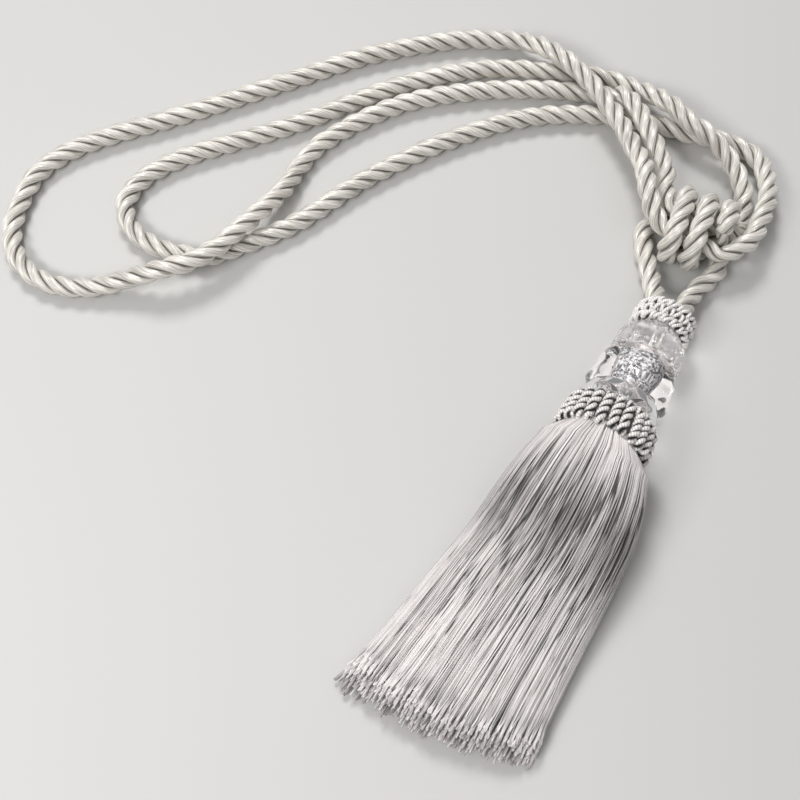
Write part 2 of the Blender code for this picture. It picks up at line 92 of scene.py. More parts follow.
class NodeWork:
    """The node tree of a new material, with short calls that add and link its nodes."""

    def __init__(self, name: str) -> None:
        """Starts a material with one Principled shader.

        Args:
            name: the material's name.
        """
        self.material: bpy.types.Material = bpy.data.materials.new(name)
        self.material.use_nodes = True
        self.tree = self.material.node_tree
        self.shader = self.tree.nodes["Principled BSDF"]

    def set(self, **values: object) -> None:
        """Sets plain values on the shader, each named as its socket with _ for a space.

        Args:
            values: the sockets' values; a colour has three numbers.
        """
        for key, value in values.items():
            socket = self.shader.inputs[key.replace("_", " ")]
            socket.default_value = (*value, 1.0) if isinstance(value, tuple) else value

    def put(self, socket: bpy.types.NodeSocket, value: object) -> None:
        """Links a node's output to a socket, or sets the socket's value.

        Args:
            socket: the input.
            value: an output socket, a number or a tuple.
        """
        if isinstance(value, bpy.types.NodeSocket):
            self.tree.links.new(value, socket)
        else:
            socket.default_value = value

    def math(self, operation: str, first: object, second: object = 0.0) -> bpy.types.NodeSocket:
        """The result of a Math node.

        Args:
            operation: its operation, such as MULTIPLY.
            first: the first operand.
            second: the second operand, where the operation has one.

        Returns:
            The output socket.
        """
        node = self.tree.nodes.new("ShaderNodeMath")
        node.operation = operation
        for socket, value in zip(node.inputs, (first, second)):
            self.put(socket, value)
        return node.outputs[0]

    def wave(self, turns: bpy.types.NodeSocket) -> bpy.types.NodeSocket:
        """A sine wave, from -1 to 1, with one period for each whole turn."""
        return self.math("SINE", self.math("MULTIPLY", turns, 2 * math.pi))

    def vector(self, x: object, y: object, z: object = 0.0) -> bpy.types.NodeSocket:
        """A vector put together from three numbers or outputs."""
        node = self.tree.nodes.new("ShaderNodeCombineXYZ")
        for socket, value in zip(node.inputs, (x, y, z)):
            self.put(socket, value)
        return node.outputs[0]

    def uv(self) -> tuple[bpy.types.NodeSocket, bpy.types.NodeSocket]:
        """The mesh's own map, as its two outputs u and v."""
        node = self.tree.nodes.new("ShaderNodeUVMap")
        parts = self.tree.nodes.new("ShaderNodeSeparateXYZ")
        self.tree.links.new(node.outputs[0], parts.inputs[0])
        return parts.outputs[0], parts.outputs[1]

    def place(self) -> bpy.types.NodeSocket:
        """The point's place in the object's own coordinates."""
        return self.tree.nodes.new("ShaderNodeTexCoord").outputs["Object"]

    def attribute(self, name: str) -> bpy.types.NodeSocket:
        """A number kept on the mesh's points."""
        node = self.tree.nodes.new("ShaderNodeAttribute")
        node.attribute_name = name
        return node.outputs["Fac"]

    def noise(self, vector: bpy.types.NodeSocket, scale: float, detail: float = 2.0) -> bpy.types.NodeSocket:
        """A noise texture's value.

        Args:
            vector: where it is read.
            scale: its scale.
            detail: its octaves.

        Returns:
            The output socket.
        """
        node = self.tree.nodes.new("ShaderNodeTexNoise")
        self.put(node.inputs["Vector"], vector)
        node.inputs["Scale"].default_value = scale
        node.inputs["Detail"].default_value = detail
        return node.outputs["Fac"]

    def cells(self, vector: bpy.types.NodeSocket, scale: float, feature: str) -> bpy.types.NodeSocket:
        """A Voronoi texture's distance, for one of its features."""
        node = self.tree.nodes.new("ShaderNodeTexVoronoi")
        node.feature = feature
        self.put(node.inputs["Vector"], vector)
        node.inputs["Scale"].default_value = scale
        return node.outputs["Distance"]

    def span(
        self, value: bpy.types.NodeSocket, low: float, high: float, to_low: float = 0.0, to_high: float = 1.0
    ) -> bpy.types.NodeSocket:
        """A value brought from one range to another, smoothly and held at its ends.

        Args:
            value: the output to read.
            low: the first range's start.
            high: its end.
            to_low: the second range's start.
            to_high: its end.

        Returns:
            The output socket.
        """
        node = self.tree.nodes.new("ShaderNodeMapRange")
        node.interpolation_type = "SMOOTHSTEP"
        self.put(node.inputs["Value"], value)
        for key, number in (("From Min", low), ("From Max", high), ("To Min", to_low), ("To Max", to_high)):
            node.inputs[key].default_value = number
        return node.outputs[0]

    def blend(self, share: bpy.types.NodeSocket, first: object, second: object) -> bpy.types.NodeSocket:
        """Two colours mixed.

        Args:
            share: how much of the second there is.
            first: a colour or an output.
            second: a colour or an output.

        Returns:
            The output socket.
        """
        node = self.tree.nodes.new("ShaderNodeMix")
        node.data_type = "RGBA"
        self.put(node.inputs["Factor"], share)
        for socket, value in ((node.inputs[6], first), (node.inputs[7], second)):
            self.put(socket, (*value, 1.0) if isinstance(value, tuple) else value)
        return node.outputs[2]

    def relief(self, height: bpy.types.NodeSocket, distance: float, strength: float) -> None:
        """Raises the surface in the shading.

        Args:
            height: the height, from 0 to about 1.
            distance: what a height of 1 is in metres.
            strength: how strongly it shows, up to 1.
        """
        node = self.tree.nodes.new("ShaderNodeBump")
        node.inputs["Strength"].default_value = strength
        node.inputs["Distance"].default_value = distance
        self.put(node.inputs["Height"], height)
        self.put(self.shader.inputs["Normal"], node.outputs[0])

    def colour(self, value: bpy.types.NodeSocket) -> None:
        """Links the shader's base colour."""
        self.put(self.shader.inputs["Base Color"], value)


@dataclass(frozen=True)
class RopeYarn:
    """Satin yarn laid in plies: fine threads along each ply, with painted shade in the valleys between them.

    Its mesh's map has u round the rope and v along it in millimetres.

    Attributes:
        name: the material's name.
        light: the threads' colour.
        dark: the colour between two threads.
        valley_shade: painted shade, the colour between two plies.
        plies: plies of the rope.
        threads: threads across one ply.
        slant: how many threads they shift to the side in a millimetre.
        wander: how many threads they wander from straight.
        thread_tone: how much lighter a thread is than the gap beside it.
        streak_tone: how much lighter one bundle of threads is than the next.
        valley_shade_from: where the valleys' painted shade starts, from a ply's middle (0) to its edge (1).
        relief: height of the threads.
    """

    name: str = "silver_grey_yarn"
    light: Colour = (0.97, 0.925, 0.85)
    dark: Colour = (0.50, 0.47, 0.42)
    valley_shade: Colour = (0.22, 0.205, 0.18)
    plies: int = 3
    threads: int = 10
    slant: float = 0.055
    wander: float = 1.1
    thread_tone: float = 0.42
    streak_tone: float = 0.62
    valley_shade_from: float = 0.66
    relief: float = 0.30 * MM

    def make(self) -> bpy.types.Material:
        """Builds the material."""
        work = NodeWork(self.name)
        u, v = work.uv()
        ply = work.math("FRACT", work.math("MULTIPLY", u, self.plies))
        edge = work.math("ABSOLUTE", work.math("SUBTRACT", work.math("MULTIPLY", ply, 2.0), 1.0))
        threads, slanted = work.math("MULTIPLY", ply, self.threads), work.math("MULTIPLY", v, self.slant)
        across = work.math("ADD", threads, slanted)
        slow = work.vector(work.math("MULTIPLY", u, 40.0), work.math("MULTIPLY", v, 0.05))
        drift = work.noise(slow, scale=1.0, detail=1.0)
        across = work.math("ADD", across, work.math("MULTIPLY", drift, self.wander))
        thread = work.span(work.wave(across), low=-1.0, high=0.7)
        bundle = work.vector(work.math("MULTIPLY", across, 0.9), work.math("MULTIPLY", v, 0.045), ply)
        streak = work.noise(bundle, scale=1.0, detail=2.0)
        threaded = work.math("MULTIPLY", thread, self.thread_tone)
        tone = work.math("ADD", threaded, work.span(streak, 0.28, 0.62, to_high=self.streak_tone))
        body = work.blend(tone, self.dark, self.light)
        # Painted shade: the colour darkens to valley_shade towards each valley between two plies.
        work.colour(work.blend(work.span(edge, self.valley_shade_from, 1.0), body, self.valley_shade))
        work.relief(work.math("ADD", thread, work.math("MULTIPLY", streak, 0.8)), self.relief, strength=0.75)
        work.set(Roughness=0.36, Metallic=0.25, Specular_IOR_Level=0.6, Sheen_Weight=0.2, Sheen_Roughness=0.4)
        return work.material


@dataclass(frozen=True)
class WrappedYarn:
    """Trimming cord: a core wrapped closely in thread, which shows as fine stripes round it.

    Its mesh's map has u round the cord and v along it in millimetres, and its attribute `tone` is
    low deep between two plies, where the colour is painted shade.

    Attributes:
        name: the material's name.
        light: the thread's colour.
        dark: the colour between two turns of the thread.
        deep: painted shade, the colour deep between two plies or loops.
        pitch: from one turn of the thread to the next, in millimetres.
        wander: how many turns the thread wanders.
        relief: height of the thread.
    """

    name: str = "wrapped_trimming"
    light: Colour = (0.97, 0.925, 0.89)
    dark: Colour = (0.62, 0.59, 0.565)
    deep: Colour = (0.012, 0.011, 0.01)
    pitch: float = 0.95
    wander: float = 0.9
    relief: float = 0.3 * MM

    def make(self) -> bpy.types.Material:
        """Builds the material."""
        work = NodeWork(self.name)
        u, v = work.uv()
        turn = work.math("ADD", work.math("DIVIDE", v, self.pitch), u)
        uneven = work.noise(work.vector(u, work.math("MULTIPLY", v, 0.35)), scale=2.0, detail=2.0)
        turn = work.math("ADD", turn, work.math("MULTIPLY", uneven, self.wander))
        thread = work.span(work.wave(turn), low=-1.0, high=0.5)
        tone = work.math("MULTIPLY", thread, work.span(uneven, 0.25, 0.7, to_low=0.75))
        body = work.blend(tone, self.dark, self.light)
        # Painted shade: where `tone` is low, deep between plies or loops, the colour goes to the near-black
        # deep.
        work.colour(work.blend(work.span(work.attribute("tone"), 0.0, 1.0), self.deep, body))
        work.relief(thread, self.relief, strength=0.8)
        work.set(Roughness=0.38, Metallic=0.1, Specular_IOR_Level=0.6, Sheen_Weight=0.2, Sheen_Roughness=0.4)
        return work.material


@dataclass(frozen=True)
class BindingYarn:
    """Plain yarn that binds the bundle and the mouth.

    Attributes:
        name: the material's name.
        light: its fibres' colour.
        dark: the colour between them.
        light_from: the noise's value from which a fibre is quite light.
        roughness: the surface's roughness.
    """

    name: str
    light: Colour
    dark: Colour
    light_from: float
    roughness: float

    def make(self) -> bpy.types.Material:
        """Builds the material."""
        work = NodeWork(self.name)
        fibre = work.noise(work.place(), scale=900.0, detail=3.0)
        work.colour(work.blend(work.span(fibre, 0.35, self.light_from), self.dark, self.light))
        work.relief(fibre, distance=0.2 * MM, strength=0.7)
        work.set(Roughness=self.roughness)
        return work.material


# Near-black yarn for the bound bundle: painted shade, standing for the shade inside the ruff.
SHADE_DARK_YARN = BindingYarn("shade_dark_yarn", (0.22, 0.21, 0.20), (0.06, 0.06, 0.06), light_from=0.7, roughness=0.8)
PALE_YARN = BindingYarn("pale_yarn", (0.92, 0.89, 0.86), (0.45, 0.43, 0.41), light_from=0.65, roughness=0.7)


@dataclass(frozen=True)
class SilkyThread:
    """The skirt's threads: each has a tone kept on the mesh, its own with painted shade and painted light
    added, and a soft gloss.

    Attributes:
        name: the material's name.
        light: the colour of tone 1.
        dark: the colour of tone 0, which the painted shade deep between the threads goes towards.
        uneven: how far the tone varies slowly from place to place.
    """

    name: str = "silky_threads"
    light: Colour = (0.85, 0.805, 0.79)
    dark: Colour = (0.06, 0.054, 0.05)
    uneven: float = 0.04

    def make(self) -> bpy.types.Material:
        """Builds the material."""
        work = NodeWork(self.name)
        tone = work.attribute("tone")
        slow = work.noise(work.place(), scale=60.0, detail=2.0)
        share = work.math("ADD", tone, work.span(slow, 0.3, 0.7, to_low=-self.uneven, to_high=self.uneven))
        work.colour(work.blend(share, self.dark, self.light))
        work.set(Roughness=0.58, Metallic=0.05, Specular_IOR_Level=0.3)
        work.set(Sheen_Weight=0.15, Sheen_Roughness=0.35)
        return work.material


@dataclass(frozen=True)
class ClearGlass:
    """Clear moulded glass, its facets a little uneven, with a touch of haze.

    Its mesh's attribute `solid` is 0 on the bore's wall, which touches what is threaded through it
    and so bends no light.

    Attributes:
        name: the material's name.
        tint: its colour.
        ripple: height of the unevenness.
        roughness: the surface's roughness.
        clear: the share of light that goes through it.
        index: its index of refraction.
    """

    name: str = "clear_glass"
    tint: Colour = (0.985, 0.965, 0.965)
    ripple: float = 0.04 * MM
    roughness: float = 0.01
    clear: float = 0.98
    index: float = 1.36

    def make(self) -> bpy.types.Material:
        """Builds the material."""
        work = NodeWork(self.name)
        work.relief(work.noise(work.place(), scale=420.0), self.ripple, strength=0.6)
        work.put(work.shader.inputs["Alpha"], work.attribute("solid"))
        work.set(Base_Color=self.tint, Roughness=self.roughness)
        work.set(Transmission_Weight=self.clear, IOR=self.index)
        work.set(Specular_IOR_Level=0.9)
        return work.material


@dataclass(frozen=True)
class CrackledFoil:
    """Silver foil, crumpled and crackled.

    Attributes:
        name: the material's name.
        light: the foil's colour.
        dark: the colour of its cracks and folds.
        crack_width: a crack's width, as a share of the piece of foil beside it.
        relief: height of the crumples.
    """

    name: str = "crackled_foil"
    light: Colour = (0.76, 0.755, 0.765)
    dark: Colour = (0.03, 0.03, 0.034)
    crack_width: float = 0.10
    relief: float = 0.5 * MM

    def make(self) -> bpy.types.Material:
        """Builds the material."""
        work = NodeWork(self.name)
        place = work.place()
        crack = work.cells(place, 620.0, "DISTANCE_TO_EDGE")
        crumple = work.noise(place, scale=900.0, detail=3.0)
        spots = work.span(work.noise(place, scale=760.0), 0.44, 0.50, to_low=0.1)
        cracked = work.span(crack, 0.0, self.crack_width, to_low=0.35)
        share = work.math("MULTIPLY", cracked, work.span(crumple, 0.3, 0.5, to_low=0.6))
        share = work.math("MULTIPLY", share, spots)
        work.colour(work.blend(share, self.dark, self.light))
        height = work.math("ADD", work.math("MULTIPLY", crumple, 1.4), share)
        work.relief(height, self.relief, strength=0.9)
        work.set(Metallic=0.2, Roughness=0.34, Specular_IOR_Level=0.8)
        return work.material


@dataclass(frozen=True)
class PlainFloor:
    """The pale matt floor.

    Attributes:
        name: the material's name.
        tint: its colour.
    """

    name: str = "pale_floor"
    tint: Colour = (0.56, 0.55, 0.535)

    def make(self) -> bpy.types.Material:
        """Builds the material."""
        work = NodeWork(self.name)
        work.set(Base_Color=self.tint, Roughness=0.75, Specular_IOR_Level=0.2)
        return work.material


# ---- Meshes ---------------------------------------------------------------------------------------


@dataclass
class Sweep:
    """Many tubes at once, from their rings of points: an array of (tube, ring, side, 3).

    Attributes:
        rings: the rings' points.
        lengths: how far along its tube each ring is, as (tube, ring), in millimetres.
    """

    rings: np.ndarray
    lengths: np.ndarray

    def corners(self) -> tuple[np.ndarray, np.ndarray]:
        """The sides' quads and the end caps' triangles, as indices of points."""
        tubes, count, sides, _ = self.rings.shape
        index = np.arange(tubes * count * sides).reshape(tubes, count, sides)
        after = np.roll(index, -1, axis=2)
        quads = np.stack([index[:, :-1], after[:, :-1], after[:, 1:], index[:, 1:]], axis=-1).reshape(-1, 4)
        first = tubes * count * sides
        middles = np.broadcast_to(first + np.arange(tubes)[:, None], (tubes, sides))
        start = np.stack([middles, after[:, 0], index[:, 0]], axis=-1).reshape(-1, 3)
        end = np.stack([middles + tubes, index[:, -1], after[:, -1]], axis=-1).reshape(-1, 3)
        return quads, np.concatenate([start, end])

    def points(self) -> np.ndarray:
        """All points: the rings', then the middles of the first rings, then of the last."""
        caps = [self.rings[:, 0].mean(axis=1), self.rings[:, -1].mean(axis=1)]
        return np.concatenate([self.rings.reshape(-1, 3), *caps])

    def map(self) -> np.ndarray:
        """The map of each corner: u round the tube, and v along it in millimetres."""
        tubes, count, sides, _ = self.rings.shape
        around = np.arange(sides) / sides
        u = np.broadcast_to(around, (tubes, count - 1, sides))
        v0 = np.broadcast_to(self.lengths[:, :-1, None], u.shape)
        v1 = np.broadcast_to(self.lengths[:, 1:, None], u.shape)
        next_u = u + 1 / sides
        quads = np.stack([u, v0, next_u, v0, next_u, v1, u, v1], axis=-1).reshape(-1, 2)
        ends = []
        for ring in (0, -1):
            u = np.broadcast_to(around, (tubes, sides))
            v = np.broadcast_to(self.lengths[:, ring, None], u.shape)
            ends.append(np.stack([u, v, u, v, u, v], axis=-1).reshape(-1, 2))
        return np.concatenate([quads, *ends])

    def rest(self) -> None:
        """Keeps every point on or over the surface that the part lies on."""
        self.rings[..., 2] = np.maximum(self.rings[..., 2], 0.0)

    def per_point(self, values: np.ndarray) -> np.ndarray:
        """Numbers for each tube, or each of its rings or points, as a number for each point."""
        full = np.broadcast_to(values[(...,) + (None,) * (3 - values.ndim)], self.rings.shape[:3])
        return np.concatenate([full.ravel(), full[:, 0].mean(axis=1), full[:, -1].mean(axis=1)])


def ramp(value: np.ndarray, start: float, length: float) -> np.ndarray:
    """0 up to a start, then rising evenly to 1 over a length."""
    return np.clip((value - start) / length, 0, 1)


def bell(value: np.ndarray, middle: float, width: float) -> np.ndarray:
    """1 at a middle, and falling softly to nothing past about two widths of it."""
    return np.exp(-(((value - middle) / width) ** 2))


def new_object(name: str, mesh: bpy.types.Mesh, dressed: bpy.types.Material) -> bpy.types.Object:
    """An object with one finish, in the scene.

    Args:
        name: its name and its mesh's.
        mesh: its mesh.
        dressed: its finish.

    Returns:
        The object.
    """
    mesh.materials.append(dressed)
    piece = bpy.data.objects.new(name, mesh)
    bpy.context.scene.collection.objects.link(piece)
    return piece


def swept_mesh(name: str, swept: Sweep, sharp: float, tones: np.ndarray | None = None) -> bpy.types.Mesh:
    """One mesh with every tube of a sweep.

    Args:
        name: the mesh's name.
        swept: the tubes.
        sharp: edges sharper than this stay so, in radians.
        tones: a tone for each tube, ring or point, kept as the attribute `tone`.

    Returns:
        The mesh.
    """
    mesh = bpy.data.meshes.new(name)
    points, (quads, triangles) = swept.points(), swept.corners()
    corners = np.concatenate([quads.ravel(), triangles.ravel()])
    starts = np.concatenate([np.arange(len(quads)) * 4, len(quads) * 4 + np.arange(len(triangles)) * 3])
    mesh.vertices.add(len(points))
    mesh.vertices.foreach_set("co", points.astype(np.float32).ravel())
    mesh.loops.add(len(corners))
    mesh.loops.foreach_set("vertex_index", corners.astype(np.int32))
    mesh.polygons.add(len(starts))
    mesh.polygons.foreach_set("loop_start", starts.astype(np.int32))
    mesh.uv_layers.new(name="map").data.foreach_set("uv", swept.map().astype(np.float32).ravel())
    if tones is not None:
        kept = mesh.attributes.new("tone", "FLOAT", "POINT")
        kept.data.foreach_set("value", swept.per_point(tones).astype(np.float32))
    mesh.update(calc_edges=True)
    mesh.validate()
    mesh.shade_smooth()
    mesh.set_sharp_from_angle(angle=sharp)
    return mesh


def along_tubes(centres: np.ndarray) -> np.ndarray:
    """How far along its tube each centre is.

    Args:
        centres: the centre lines, as (tube, ring, 3).

    Returns:
        The distances in the points' own unit, as (tube, ring).
    """
    steps = np.linalg.norm(np.diff(centres, axis=1), axis=2)
    return np.concatenate([np.zeros((len(centres), 1)), np.cumsum(steps, axis=1)], axis=1)


def frames(centres: np.ndarray, first: tuple[float, float, float]) -> tuple[np.ndarray, np.ndarray]:
    """Two directions across each tube at each ring, carried along it without a twist.

    Args:
        centres: the centre lines, as (tube, ring, 3).
        first: roughly the first direction at the start.

    Returns:
        The two directions, each shaped as the centre lines.
    """
    ahead = np.gradient(centres, axis=1)
    ahead /= np.linalg.norm(ahead, axis=2, keepdims=True)
    side = np.empty_like(centres)
    carried = np.broadcast_to(np.array(first, float), centres[:, 0].shape)
    for n in range(centres.shape[1]):
        carried = carried - ahead[:, n] * np.sum(carried * ahead[:, n], axis=1, keepdims=True)
        carried = carried / np.linalg.norm(carried, axis=1, keepdims=True)
        side[:, n] = carried
    return side, np.cross(ahead, side)


def round_tubes(centres: np.ndarray, radius: object, sides: int, first: tuple[float, float, float]) -> Sweep:
    """Round tubes along centre lines.

    Args:
        centres: the centre lines, as (tube, ring, 3).
        radius: one number, or an array that fits (tube, ring).
        sides: sides of each tube.
        first: roughly the direction of the first side.

    Returns:
        The tubes.
    """
    side, other = frames(centres, first)
    angle = 2 * math.pi * np.arange(sides) / sides
    reach = np.broadcast_to(np.asarray(radius, float), centres.shape[:2])[:, :, None, None]
    out = side[:, :, None] * np.cos(angle)[:, None] + other[:, :, None] * np.sin(angle)[:, None]
    return Sweep(centres[:, :, None] + out * reach, along_tubes(centres) / MM)


def smooth_through(points: np.ndarray, count: int) -> np.ndarray:
    """Smooth lines through given points.

    Args:
        points: the points of each line, as (line, point, 3).
        count: how many points each smooth line has.

    Returns:
        The lines, as (line, count, 3).
    """
    spans = points.shape[1] - 1
    before, after = 2 * points[:, :1] - points[:, 1:2], 2 * points[:, -1:] - points[:, -2:-1]
    padded = np.concatenate([before, points, after], axis=1)
    place = np.linspace(0, spans, count)
    span = np.minimum(place.astype(int), spans - 1)
    t = (place - span)[None, :, None]
    p0, p1, p2, p3 = (padded[:, span + k] for k in range(4))
    return 0.5 * (
        2 * p1 + (p2 - p0) * t + (2 * p0 - 5 * p1 + 4 * p2 - p3) * t**2 + (3 * p1 - p0 - 3 * p2 + p3) * t**3
    )


def fit_in(piece: bpy.types.Object, slot: Slot, *nodes: str) -> bpy.types.Object:
    """Ties a piece to the part: hides the nodes that it stands for, and puts it on the body it rides on.

    Args:
        piece: the object.
        slot: its material slot; not used.
        nodes: the nodes that it replaces.

    Returns:
        The piece.
    """
    if nodes:
        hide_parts(*nodes)
    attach(piece, BODY)
    return piece


# ---- The knot and the two cords -------------------------------------------------------------------


class Frame(Enum):
    """Whose directions a route's points are in; the points themselves are in millimetres."""

    PART = "across, along and up of the part"
    KNOT = "along, across and up of the knot"


Point = tuple[float, float, float]
Route = list[tuple[Frame, list[Point]]]


@dataclass(frozen=True)
class Knot:
    """The tassel's own cord wound round two stretches of the rope that lie side by side.

    Attributes:
        centre: its middle, on the surface.
        turn: the direction of its length, from X.
        apart: the two stretches, centre to centre.
        stretch_up: their height.
        wrap_out: a wrap's centre line, from that of the rope it goes round.
        wrap_pitch: from one wrap to the next.
        wrap_lean: how far a wrap moves along the knot while it crosses the top.
        first_wrap: where the first wrap crosses the top.
        wrap_steps: route points in one wrap.
        pressed_length: the rope is pressed thinner this far each way along the knot.
        pressed_width: and this far each way across it.
        pressed_ease: it is its full thickness again this much further on.
        pressed_share: how thin it is pressed.
        tuck: where the last wrap is tucked between the two stretches, in the knot's directions.
        tuck_reach: how far from there it is thin.
        tuck_share: how thin it is there.
    """

    centre: tuple[float, float, float] = (-0.6 * MM, 158.0 * MM, 0.0)
    turn: float = math.radians(9.0)
    apart: float = 12.4 * MM
    stretch_up: float = 14.75 * MM
    wrap_out: float = 9.65 * MM
    wrap_pitch: float = 10.7 * MM
    wrap_lean: float = -1.4 * MM
    first_wrap: float = -11.0 * MM
    wrap_steps: int = 16
    pressed_length: float = 15.0 * MM
    pressed_width: float = 11.0 * MM
    pressed_ease: float = 5.0 * MM
    pressed_share: float = 0.8
    tuck: tuple[float, float, float] = (12.3 * MM, -1.4 * MM, 15.6 * MM)
    tuck_reach: float = 5.6 * MM
    tuck_share: float = 0.6

    def place(self, along: float, across: float, up: float) -> Vector:
        """A place in the knot's directions, as a point of the part."""
        lengthways = Vector((math.cos(self.turn), math.sin(self.turn), 0))
        crossways = Vector((-math.sin(self.turn), math.cos(self.turn), 0))
        return Vector(self.centre) + lengthways * along + crossways * across + Vector((0, 0, up))

    def points(self, route: Route) -> list[Vector]:
        """A route's points in metres, in the part's directions."""
        return [
            self.place(*(value * MM for value in point)) if whose is Frame.KNOT else Vector(point) * MM
            for whose, points in route
            for point in points
        ]

    def round_both(self, gone: float) -> tuple[float, float]:
        """Where a wrap is on its way round both stretches.

        Args:
            gone: how far it has gone from the middle of the top.

        Returns:
            How far across it is, and how far up from the stretches' middles.
        """
        half, straight = math.pi * self.wrap_out, self.apart / 2
        if gone < straight:
            return -gone, self.wrap_out
        if gone < straight + half:
            angle = (gone - straight) / self.wrap_out
            return -straight - self.wrap_out * math.sin(angle), self.wrap_out * math.cos(angle)
        if gone < 3 * straight + half:
            return gone - 2 * straight - half, -self.wrap_out
        if gone < 3 * straight + 2 * half:
            angle = (gone - 3 * straight - half) / self.wrap_out
            return straight + self.wrap_out * math.sin(angle), -self.wrap_out * math.cos(angle)
        return 2 * half + 4 * straight - gone, self.wrap_out

    def wraps(self) -> list[Vector]:
        """The wraps' centre line, from the far side of the first to the top of the third."""
        whole = 2 * math.pi * self.wrap_out + 2 * self.apart
        points = []
        for step in range(-self.wrap_steps // 4, 2 * self.wrap_steps + 1):
            turn = step / self.wrap_steps
            share = turn - math.floor(turn)
            across, up = self.round_both(share * whole)
            over_top = min(share, 0.25) + max(share - 0.75, 0.0)
            below = min(max(share - 0.25, 0.0), 0.5)
            moved = self.wrap_lean * 2 * over_top + (self.wrap_pitch - self.wrap_lean) * 2 * below
            along = self.first_wrap + self.wrap_pitch * math.floor(turn) + moved
            points.append(self.place(along, across, self.stretch_up + up))
        return points

    def pressed(self, line: np.ndarray) -> np.ndarray:
        """The loop rope's thickness at each point of a line, as a share of its own."""
        away = line - np.array(self.centre)
        along = np.abs(away[:, 0] * math.cos(self.turn) + away[:, 1] * math.sin(self.turn))
        across = np.abs(away[:, 1] * math.cos(self.turn) - away[:, 0] * math.sin(self.turn))
        ease = ramp(along, self.pressed_length, self.pressed_ease)
        outside = (across > self.pressed_width) | (away[:, 2] < self.stretch_up - self.pressed_ease)
        return np.where(outside, 1.0, self.pressed_share + (1 - self.pressed_share) * ease)

    def tucked(self, line: np.ndarray) -> np.ndarray:
        """The tassel's cord's thickness at each point of a line, as a share of its own."""
        away = np.linalg.norm(line - np.array(self.place(*self.tuck)), axis=1)
        ease = ramp(away, self.tuck_reach, self.pressed_ease)
        return self.tuck_share + (1 - self.tuck_share) * ease


LAST_WRAP = -11.0 + 2 * 10.7  # millimetres along the knot

LOOP_ROUTE: Route = [
    # through the knot, out at its right end and round the inner loop
    (Frame.KNOT, [
        (-1.0, 6.2, 14.75), (6.0, 6.2, 14.75), (11.5, 6.2, 14.2), (17.6, 8.8, 10.2),
        (19.8, 14.2, 6.4), (19.2, 20.5, 5.2), (17.8, 28.0, 5.1),
    ]),
    (Frame.PART, [
        (10, 195, 6), (1, 204, 8), (-11, 209.5, 12.5), (-21, 211.5, 15.4), (-31, 213.5, 15.4),
        (-42, 218, 15.4), (-53, 222, 11.5), (-64, 224.5, 7), (-76, 225, 5), (-89, 222, 5),
        (-103, 216, 5), (-138, 198, 5), (-169, 170, 5), (-209, 116, 5), (-249, 68, 5),
        (-257, 48, 5), (-255, 35, 5), (-247, 27, 5), (-236, 23.5, 5), (-224, 24, 5), (-213, 27, 5),
        (-203, 32, 5), (-193, 44, 5), (-177, 67, 5), (-158, 110, 5), (-134, 149, 5),
        (-105, 182, 5), (-74, 201.5, 5), (-56, 208, 5), (-43, 212, 5), (-29, 214.5, 5),
        (-17, 218, 5), (-5, 220, 5), (8, 217, 6), (17.4, 205.3, 9), (21.9, 191.3, 13),
    ]),
    # back through the knot, from its right end to its left
    (Frame.KNOT, [
        (26.2, 13.5, 15.3), (25.4, 5.5, 15.7), (20.0, -3.0, 15.7), (13.5, -8.6, 15.2),
        (6.0, -6.8, 14.75), (-2.0, -6.2, 14.75), (-10.0, -6.2, 14.75), (-16.0, -4.2, 15.0),
        (-22.4, 0.3, 17.0), (-28.2, 7.5, 20.7),
    ]),
    # round the outer loop
    (Frame.KNOT, [
        (-33.0, 16.8, 21.4),
    ]),
    (Frame.PART, [
        (-39.4, 176.4, 18.9), (-47, 184, 15.8), (-63, 197, 15.4), (-81, 208, 15.4),
        (-92, 213, 15.4), (-104, 217, 15.4), (-117, 220, 12.6), (-130, 221, 8), (-143, 217, 5),
        (-159, 208, 5), (-196, 175, 5), (-224, 140, 5), (-264, 90, 5), (-284, 67, 5),
        (-297, 49, 5), (-304, 30, 5), (-302, 12, 5), (-295, -5, 5), (-285, -15, 5),
        (-272, -19.5, 5), (-257, -18, 5), (-241, -10, 6), (-227, 1, 10), (-214, 11, 15.4),
        (-204, 22, 15.4), (-198, 34, 15.4), (-194, 48, 15.4), (-191, 62, 14), (-190, 78, 9),
        (-191.5, 96, 5), (-189.5, 114, 5), (-167, 155, 5), (-136, 183, 5), (-101, 204, 5),
        (-86, 210, 5), (-76, 213, 6.5), (-67, 213, 12.6), (-58, 208, 15.6), (-48.5, 200, 15.6),
        (-38, 190.5, 15.6), (-28.5, 180.5, 15.4),
    ]),
    # and into the knot again, where its two ends meet
    (Frame.KNOT, [
        (-21.2, 16.2, 15.0), (-17.5, 9.1, 15.0), (-10.0, 6.5, 14.75), (-1.8, 6.2, 14.75),
    ]),
]

HANGER_START: Route = [
    (Frame.PART, [
        (0.3, 98.3, 16.4), (0.3, 106, 15.4), (-0.9, 112, 14), (-4.4, 119, 10.2),
        (-9.5, 127.5, 6.5), (-15.5, 136, 5.2), (-21.5, 144.5, 5.1), (-24, 152, 5.1),
    ]),
    (Frame.KNOT, [
        (-21.8, 3.2, 5.1), (-18.0, 8.6, 5.1), (-13.3, 12.8, 6.4),
    ]),
]
HANGER_END: Route = [
    # the last wrap goes round one stretch only and is tucked between the two
    (Frame.KNOT, [
        (LAST_WRAP - 0.2, 0.5, 22.8), (LAST_WRAP + 0.6, -1.6, 19.35),
        (LAST_WRAP + 2.1, -1.4, 12.75), (LAST_WRAP + 3.8, -3.5, 7.5), (LAST_WRAP + 4.6, -8.0, 5.1),
        (LAST_WRAP + 4.2, -14.0, 5.1),
    ]),
    (Frame.PART, [
        (12.3, 136, 5.1), (10.8, 127, 6.3), (10.5, 119, 10), (10.6, 112, 13.9), (10.7, 106, 15.4),
        (10.7, 98.3, 16.4),
    ]),
]


